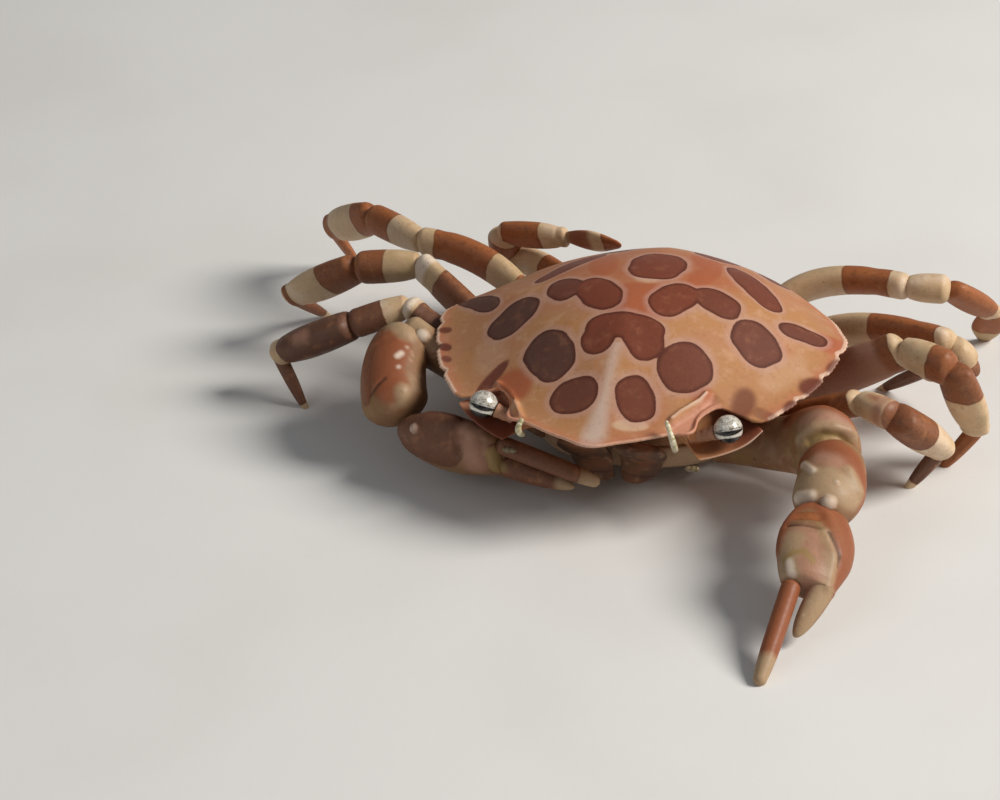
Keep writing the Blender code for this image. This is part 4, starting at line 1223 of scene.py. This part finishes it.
class CRAB_OT_underside(bpy.types.Operator):
    """Builds the breast plate with its grooves and the jointed tail folded beneath it."""

    bl_idname = "crab.underside"
    bl_label = "Underside"

    def execute(self, context):
        finish = pale_shell(context.scene.crab_colours)
        self.add_breast_plate(finish)
        self.add_tail(finish)
        return {"FINISHED"}

    def add_breast_plate(self, finish):
        over = [(share, BREAST_TOP) for share in np.linspace(0.03, 0.95, 10)]
        under = [(share, BREAST_BOTTOM) for share in np.linspace(0.9, 0.03, 26)]
        share, height = np.array([*over, *BREAST_BRIM, *under]).T[..., None]
        rows = blend(BREAST_CENTRE, breast_outline(full_turn(180)), share[..., None])
        aside = np.abs(rows[..., 0])
        groove = 0.0
        for line in BREAST_GROOVES:
            slanted = rows[..., 1] - line - 0.12 * aside
            groove = np.maximum(groove, hump(slanted, 0.0, GROOVE_WIDTH) * ramp(aside, 2.0, 4.0))
        groove = np.where(height < BREAST_GROOVES_BELOW, groove, 0.0)
        rows[..., 2] = height + groove * GROOVE_DEPTH
        add_piece("breast_plate", rows, {"dark": groove * 0.5}, finish, "sternum")

    def add_tail(self, finish):
        share = np.linspace(0.0, 1.0, 200)
        along, height = read_table(TAIL_ALONG, share), read_table(TAIL_HEIGHT, share)
        centre = np.stack((0 * share, along, height), axis=-1)
        sideways = np.array((1.0, 0.0, 0.0))
        outward = np.cross(unit(np.gradient(centre, axis=0)), sideways)
        groove, step = 0.0, 0.0
        for joint in TAIL_JOINTS:
            groove = groove + hump(share, joint, 0.007)
            step = step + ramp(share, joint, joint + 0.09) - ramp(share, joint + 0.09, joint + 0.1)
        closing = rounded(np.minimum(share, 1 - share), 0.012)
        half_width = read_table(TAIL_HALF_WIDTH, share) * (1 - 0.04 * groove) * closing
        half_thickness = (TAIL_HALF_THICKNESS - 0.1 * groove) * closing
        turn = full_turn(PLATE_SIDES)
        wide = half_width[:, None] * squared(np.cos(turn), 0.6)
        deep = half_thickness[:, None] * squared(np.sin(turn), 0.8)
        rows = section_rows(centre, sideways, outward, wide, deep)
        measures = {"dark": (0.6 * groove + 0.05 * step)[:, None]}
        add_piece("folded_tail", rows, measures, finish, "abdomen")


class CRAB_OT_mouth(bpy.types.Operator):
    """Builds the two outer mouth plates, each with its small jointed foot."""

    bl_idname = "crab.mouth"
    bl_label = "Mouth plates"

    def execute(self, context):
        colours = context.scene.crab_colours
        finish = banded_shell(colours, "hardened_chitin_mouth", "#5E4332", colours.sand, colours.brown)
        down = unit(MOUTH_BOTTOM - MOUTH_TOP)
        outward = unit(np.array((0.0, down[2], -down[1])))
        stations = [(*(MOUTH_TOP + down * far), half) for far, half in MOUTH_PLATE_DOWN_FIELD]
        stations += MOUTH_PLATE_END
        at = np.linspace(0.0, 1.0, len(stations))
        share = np.linspace(0.0, 1.0, 90)
        x, y, z, width = (read_table(tuple(zip(at, column)), share) for column in zip(*stations))
        centre = np.stack((x, y, z), axis=-1) + outward * MOUTH_PLATE_LIFT
        closing = rounded(np.minimum(share, 1 - share), 0.05)
        groove = hump(share, 0.42, 0.02) + hump(share, 0.78, 0.02)
        turn = full_turn(PLATE_SIDES)
        wide = (width * closing)[:, None] * np.cos(turn)
        deep = ((MOUTH_PLATE_HALF_THICKNESS - 0.15 * groove) * closing)[:, None] * np.sin(turn)
        for side, sign in SIDES:
            outer = np.array((sign, 0.0, 0.0))
            rows = section_rows(centre + outer * (width + 0.3)[:, None], outer, outward, wide, deep)
            measures = limb_measures(rows, tone=0.6)
            measures["dark"] = groove[:, None] * 0.1 - 0.08
            add_piece("mouth_plate_" + side, rows, measures, finish, "maxilliped_" + side)
        return {"FINISHED"}


class CRAB_OT_eyes(bpy.types.Operator):
    """Builds the eyes with their bands, and the short stalks that carry them."""

    bl_idname = "crab.eyes"
    bl_label = "Eyes"

    def execute(self, context):
        colours = context.scene.crab_colours
        cornea = banded_eye(colours)
        skin = banded_shell(colours, "soft_chitin_stalk", "#A9785E", colours.sand, colours.sand)
        for side, sign in SIDES:
            root, eye = STALK_ROOT * (sign, 1.0, 1.0), EYE_PLACE * (sign, 1.0, 1.0)
            reach = unit(eye - root)
            self.add_globe(side, eye, reach, cornea)
            rows = swept_rows(
                arc(root, eye - reach * 0.9), (0.0, 0.0, 1.0), (STALK_RADIUS, STALK_RADIUS),
                ((0.0, 1.0), (1.0, 1.25)), (40, 40), (0.1, 0.15), (0.0, 0.1),
                lambda share, turn, length: 0.02 * np.cos(14 * share),
            )[0]
            measures = limb_measures(rows, tone=0.3)
            add_piece("eye_stalk_" + side, rows, measures, skin, "eyestalk_" + side)
        return {"FINISHED"}

    def add_globe(self, side, eye, reach, finish):
        """Adds a ball that sits flat on its stalk, with a dark band, a thin line and a pale crescent."""
        lift = np.linspace(0.0, math.pi, 66)[1:-1, None]
        turn = full_turn(72)
        beside = unit(np.cross(reach, (0.0, 0.0, 1.0)))
        above = np.cross(beside, reach)
        centre = eye - reach * EYE_RADIUS * np.cos(lift)
        wide = EYE_RADIUS * np.sin(lift) * np.cos(turn)
        deep = EYE_RADIUS * np.sin(lift) * np.sin(turn)
        rows = section_rows(centre, beside, above, wide, deep)
        seat = (rows - eye) @ reach
        rows = rows + reach * np.maximum(-EYE_SEAT * EYE_RADIUS - seat, 0.0)[..., None]
        tilt = math.radians(EYE_TILT[side])
        level = (rows - eye) @ (EYE_UPWARD * math.cos(tilt) + EYE_SIDEWAYS * math.sin(tilt))
        aside = (rows - eye) @ (EYE_SIDEWAYS * math.cos(tilt) - EYE_UPWARD * math.sin(tilt))
        arch = level - EYE_ARCH * aside ** 2
        below, half_width = EYE_CRESCENT
        crescent = ramp(half_width - np.abs(arch + below), -0.04, 0.04)
        below, half_width, narrowing = EYE_BAND
        band = half_width - narrowing * aside ** 2 - np.abs(arch + below)
        thin_line = EYE_LINE_HALF_WIDTH - np.abs(level)
        band = np.maximum(band, np.maximum(thin_line, -EYE_DARK_FROM - level))
        measures = {"band": band, "crescent": crescent}
        add_piece("eye_globe_" + side, rows, measures, finish, "eye_" + side)


def bead_wave(share, length):
    """Rises to 1 and falls to 0 once for each bead of a feeler."""
    return np.abs(np.sin(share * length * math.pi / FEELER_BEAD))


class CRAB_OT_feelers(bpy.types.Operator):
    """Builds the beaded antennules and the short antennae."""

    bl_idname = "crab.feelers"
    bl_label = "Feelers"

    def execute(self, context):
        finish = feeler_shell(context.scene.crab_colours)
        for side, sign in SIDES:
            feelers = (
                ("antennule", ANTENNULE[side], (1, 0, 0), ANTENNULE_SHADE),
                ("antenna", ANTENNA, (0, 0, 1), ANTENNA_SHADE),
            )
            for name, places, hint, shade in feelers:
                base, middle, tip = (np.array(place) * (sign, 1.0, 1.0) for place in places)
                rows, share, length = swept_rows(
                    arc(base, tip, middle), hint, (FEELER_RADIUS, FEELER_RADIUS), FEELER_SWELL, (90, 32),
                    (0.2, 0.2), (0.15, 0.2),
                    lambda share, turn, length: BEAD_HEIGHT * bead_wave(share, length),
                )
                dark = shade * (0.5 + 0.5 * (1 - bead_wave(share, length)) ** 2)
                piece = "%s_beads_%s" % (name, side)
                add_piece(piece, rows, {"dark": dark}, finish, "%s_%s" % (name, side))
        return {"FINISHED"}


# Limbs


def limb_measures(rows, tone=0.0, speck=0.3, share=None, length=1.0, bands=(), marks=()):
    """What the banded finish reads: how deep each point lies in each colour, in millimetres."""
    depth = dict.fromkeys(LIMB_LAYERS, OUTSIDE)
    for layer, low, high in bands:
        depth[layer] = np.maximum(depth[layer], np.minimum(share - low, high - share) * length)
    for paint, relief, line in marks:
        if paint:
            layer, radius = paint
            depth[layer] = np.maximum(depth[layer], radius - line_distance(rows, line))
    return {"tone": tone, "speck": speck, **depth}


def add_length(name, slot, finish, rows, **given):
    """Adds one length of a limb with its own marks and relief."""
    marks = MARKS.get(name, ())
    rows = with_relief(rows, marks)
    add_piece(name + "_skin", rows, limb_measures(rows, marks=marks, **given), finish, name)


def limb_root(leg, sign):
    """Where a limb leaves the breast plate's side."""
    line = LEG_ROOT_LINE[leg]
    share = abs(line - BREAST_CENTRE[1]) / BREAST_HALF_LENGTH
    across = BREAST_HALF_WIDTH * (1 - share ** BREAST_SQUARENESS) ** (1 / BREAST_SQUARENESS)
    return np.array((sign * across, line, ROOT_HEIGHT))


def keeled(turn):
    """A limb's section: an oval with a low keel above and below."""
    keel = 1 + 0.04 * np.abs(np.cos(turn)) ** 12
    return np.cos(turn) * keel, np.sin(turn)


def side_grooves(share, turn, length):
    """The shallow grooves along both sides of a leg's length."""
    groove = hump(np.cos(2 * turn), -1.0, 0.25) * ramp(share, 0.05, 0.3) * (1 - ramp(share, 0.75, 0.95))
    return -0.06 * groove


def side_grooves_and_collar(share, turn, length):
    """The grooves, and the raised collar before the next joint."""
    collar = 0.05 * hump(share, 0.98, 0.05) - 0.06 * hump(share, 0.88, 0.03)
    return collar + side_grooves(share, turn, length)


class CRAB_OT_legs(bpy.types.Operator):
    """Builds the four pairs of banded walking legs, each of four lengths."""

    bl_idname = "crab.legs"
    bl_label = "Legs"

    def execute(self, context):
        colours = context.scene.crab_colours
        cream = colours.cream
        finish = banded_shell(colours, "hardened_chitin_banded", cream, cream, colours.ivory)
        for side, sign in SIDES:
            for leg in LEG_SIZES:
                self.add_leg(leg, side, sign, finish)
        return {"FINISHED"}

    def add_leg(self, leg, side, sign, finish):
        points = [limb_root(leg, sign)] + [np.array(joint) for joint in LEG_JOINTS[leg, side]]
        tip_swell = PADDLE_SWELL if leg == "leg5" else DACTYL_SWELL
        swells = (MERUS_SWELL, CARPUS_SWELL, PROPODUS_SWELL, tip_swell)
        plane = unit(np.cross(points[3] - points[1], points[2] - points[1]))
        for index, piece in enumerate(LEG_PIECES):
            start, end = points[index:index + 2]
            halves = LEG_SIZES[leg][index]
            middle = MERUS_MIDDLES.get((leg, side)) if piece == "merus" else None
            beyond = halves[1] * swells[index][-1][1]
            far = TIP_END if piece == "dactyl" else (FAR_REACHES[index] * beyond, beyond * 0.75)
            relief = side_grooves_and_collar if piece in ("merus", "propodus") else side_grooves
            rows, share, length = swept_rows(
                arc(start, end, middle), np.cross(plane, end - start), halves, swells[index],
                (LIMB_ROWS, LIMB_SIDES), NEAR_ENDS[index], far, relief, keeled,
            )
            uneven = 0.09 * waves(rows, 2.2, 11 + index)
            tone, bands = LEG_BANDS[leg, side][index]
            add_length(
                "_".join((leg, side, piece)), "leg", finish, rows, tone=tone, speck=0.45,
                share=share + uneven / length, length=length, bands=bands,
            )


class CRAB_OT_claws(bpy.types.Operator):
    """Builds both claws: merus, carpus, palm with its fixed finger, and the moving finger."""

    bl_idname = "crab.claws"
    bl_label = "Claws"

    def execute(self, context):
        colours = context.scene.crab_colours
        finish = banded_shell(colours, "hardened_chitin_claw", colours.claw, colours.sand, colours.sand)
        for side, sign in SIDES:
            self.add_claw(side, sign, finish)
        return {"FINISHED"}

    def add_claw(self, side, sign, finish):
        root = limb_root("claw", sign)
        elbow, wrist, knuckle, upper_tip = (np.array(joint) for joint in CLAW_JOINTS[side])
        name = "claw_" + side
        size = (CLAW_ROWS, CLAW_SIDES)
        # The right claw's darker, purpler tone is painted shade.
        tone = CLAW_TONE_AND_SHADE[side]
        middle = (root + elbow) / 2 + np.array(CLAW_MERUS_BOW[side])
        reach = CLAW_MERUS[side][1]
        rows = swept_rows(
            arc(root, elbow, middle), (0.0, 0.0, 1.0), CLAW_MERUS[side], CLAW_MERUS_SWELL, size,
            (0.0, 0.3), (reach * 0.5, reach * 0.8), None, keeled,
        )[0]
        add_length(name + "_merus", "claw", finish, rows, tone=tone)
        middle = (elbow + wrist) / 2 + np.array(CARPUS_BOW[side])
        rows = swept_rows(
            arc(elbow, wrist, middle), (1.0, 0.0, 0.0), CLAW_CARPUS, CLAW_CARPUS_SWELL, size,
            (0.3, 1.0), CARPUS_FAR_END[side], None, keeled,
        )[0]
        add_length(name + "_carpus", "claw", finish, rows, tone=tone / 2)
        axis = unit(knuckle - wrist)
        outer = np.array(CLAW_OUTER_SIDE[side])
        outer = unit(outer - axis * (outer @ axis))
        rows = self.palm_rows(side, wrist, knuckle, axis, outer)
        add_length(name + "_palm", "claw", finish, rows, tone=tone)
        finger_start = knuckle - outer * FINGER_OFFSET + axis * 0.1
        rows = swept_rows(
            arc(finger_start, upper_tip), outer, FINGER, FINGER_SWELL, (LIMB_ROWS, LIMB_SIDES),
            (0.4, 0.5), (0.1, 0.45), None, keeled,
        )[0]
        add_length(name + "_finger", "claw", finish, rows, tone=tone)

    def palm_rows(self, side, wrist, knuckle, axis, outer):
        """The palm's rows; beyond the knuckle its outer half runs on into the fixed finger."""
        face = np.cross(axis, outer)
        length = np.linalg.norm(knuckle - wrist)
        half_width, half_thickness = PALM[side]
        finger_half_width, finger_half_thickness = FIXED_FINGER
        turn = full_turn(CLAW_SIDES)[:, None]
        rows = []

        def add_row(centre, inner, outer_edge, thickness):
            middle, half = (inner + outer_edge) / 2, (outer_edge - inner) / 2
            rows.append(centre + outer * (middle + half * np.cos(turn)) + face * thickness * np.sin(turn))

        for share in np.linspace(-0.03, KNUCKLE_SHARE, 84):
            width = read_table(PALM_SWELL, max(share, 0.0)) * rounded(share + 0.04, 0.1)
            outer_width = half_width * width * (1 - 0.12 * ramp(share, 0.6, KNUCKLE_SHARE))
            centre = wrist + axis * (length * share)
            add_row(centre, -half_width * width, outer_width, half_thickness * width)
        for step in np.linspace(0.0, 1.0, 18)[1:]:
            onward = math.sin(step * math.pi / 2)
            aside = 1 - math.cos(step * math.pi / 2)
            centre = wrist + axis * (length * blend(KNUCKLE_SHARE, 1.0, onward))
            inner = blend(-half_width * width, FIXED_FINGER_OFFSET - finger_half_width, aside)
            outer_edge = blend(outer_width, FIXED_FINGER_OFFSET + finger_half_width, step)
            add_row(centre, inner, outer_edge, blend(half_thickness * width, finger_half_thickness, step))
        lower_tip = np.array(LOWER_FINGER_TIP[side])
        finger_root = wrist + axis * length + outer * FIXED_FINGER_OFFSET
        for share in np.linspace(0.02, 1.0, 44):
            size = math.sqrt(max(1 - share ** 1.8, 0.0)) * 0.97 + 0.02
            half = finger_half_width * size
            add_row(blend(finger_root, lower_tip, share), -half, half, finger_half_thickness * size)
        return np.array(rows)


class CRAB_OT_stage(bpy.types.Operator):
    """Adds the plain floor, the soft studio lights and the camera."""

    bl_idname = "crab.stage"
    bl_label = "Stage"

    def execute(self, context):
        scene = context.scene
        scene.view_settings.view_transform = "Standard"
        self.add_floor(scene)
        self.add_lights(scene)
        self.add_camera(scene)
        return {"FINISHED"}

    def add_floor(self, scene):
        half, level = FLOOR_HALF_WIDTH, -FLOOR_BELOW_TIPS
        corners = [(x, y, level) for x, y in ((-half, -half), (half, -half), (half, half), (-half, half))]
        mesh = bpy.data.meshes.new("studio_floor")
        mesh.from_pydata(corners, [], [(0, 1, 2, 3)])
        mesh.materials.append(paper_floor(scene.crab_colours))
        floor = bpy.data.objects.new("studio_floor", mesh)
        scene.collection.objects.link(floor)

    def add_lights(self, scene):
        scene.world = bpy.data.worlds.new("studio_air")
        scene.world.use_nodes = True
        air = scene.world.node_tree.nodes["Background"].inputs
        air["Color"].default_value = AIR_COLOUR
        air["Strength"].default_value = AIR_STRENGTH
        for name, place, size, power, tint in LIGHTS:
            light = bpy.data.lights.new(name, "AREA")
            light.shape = "DISK"
            light.size = size
            light.energy = power
            light.color = tint
            lamp = bpy.data.objects.new(name, light)
            lamp.location = place
            lamp.rotation_euler = (-Vector(place)).to_track_quat("-Z", "Y").to_euler()
            scene.collection.objects.link(lamp)

    def add_camera(self, scene):
        lens = bpy.data.cameras.new("camera")
        lens.lens = CAMERA_LENS
        lens.sensor_width = 36.0
        lens.clip_start = 0.01
        lens.clip_end = 20.0
        camera = bpy.data.objects.new("camera", lens)
        turn = Matrix.Rotation(CAMERA_AZIMUTH, 4, "Z")
        tip = Matrix.Rotation(math.pi / 2 - CAMERA_ELEVATION, 4, "X")
        roll = Matrix.Rotation(CAMERA_ROLL, 4, "Z")
        target = Matrix.Translation(row_point(CAMERA_TARGET))
        back = Matrix.Translation((0.0, 0.0, scene.crab_sizes.camera_distance))
        camera.matrix_world = target @ turn @ tip @ roll @ back
        scene.collection.objects.link(camera)
        scene.camera = camera


OPERATORS = (
    CRAB_OT_shell, CRAB_OT_underside, CRAB_OT_mouth, CRAB_OT_eyes, CRAB_OT_feelers, CRAB_OT_claws,
    CRAB_OT_legs, CRAB_OT_stage,
)


class VIEW3D_PT_crab(bpy.types.Panel):
    """Lists the crab's pieces and settings in the sidebar."""

    bl_label = "Harlequin crab"
    bl_space_type = "VIEW_3D"
    bl_region_type = "UI"
    bl_category = "Crab"

    def draw(self, context):
        for operator in OPERATORS:
            self.layout.operator(operator.bl_idname)
        for group in (context.scene.crab_sizes, context.scene.crab_colours):
            for setting in group.bl_rna.properties.keys():
                if setting not in ("rna_type", "name"):
                    self.layout.prop(group, setting)


CLASSES = (CrabSizes, CrabColours) + OPERATORS + (VIEW3D_PT_crab,)


def register():
    for kind in CLASSES:
        bpy.utils.register_class(kind)
    bpy.types.Scene.crab_sizes = bpy.props.PointerProperty(type=CrabSizes)
    bpy.types.Scene.crab_colours = bpy.props.PointerProperty(type=CrabColours)


def unregister():
    del bpy.types.Scene.crab_colours
    del bpy.types.Scene.crab_sizes
    for kind in reversed(CLASSES):
        bpy.utils.unregister_class(kind)


def main():
    register()
    bpy.ops.crab.shell()
    bpy.ops.crab.underside()
    bpy.ops.crab.mouth()
    bpy.ops.crab.eyes()
    bpy.ops.crab.feelers()
    bpy.ops.crab.claws()
    bpy.ops.crab.legs()
    bpy.ops.crab.stage()


if __name__ == "__main__":
    main()
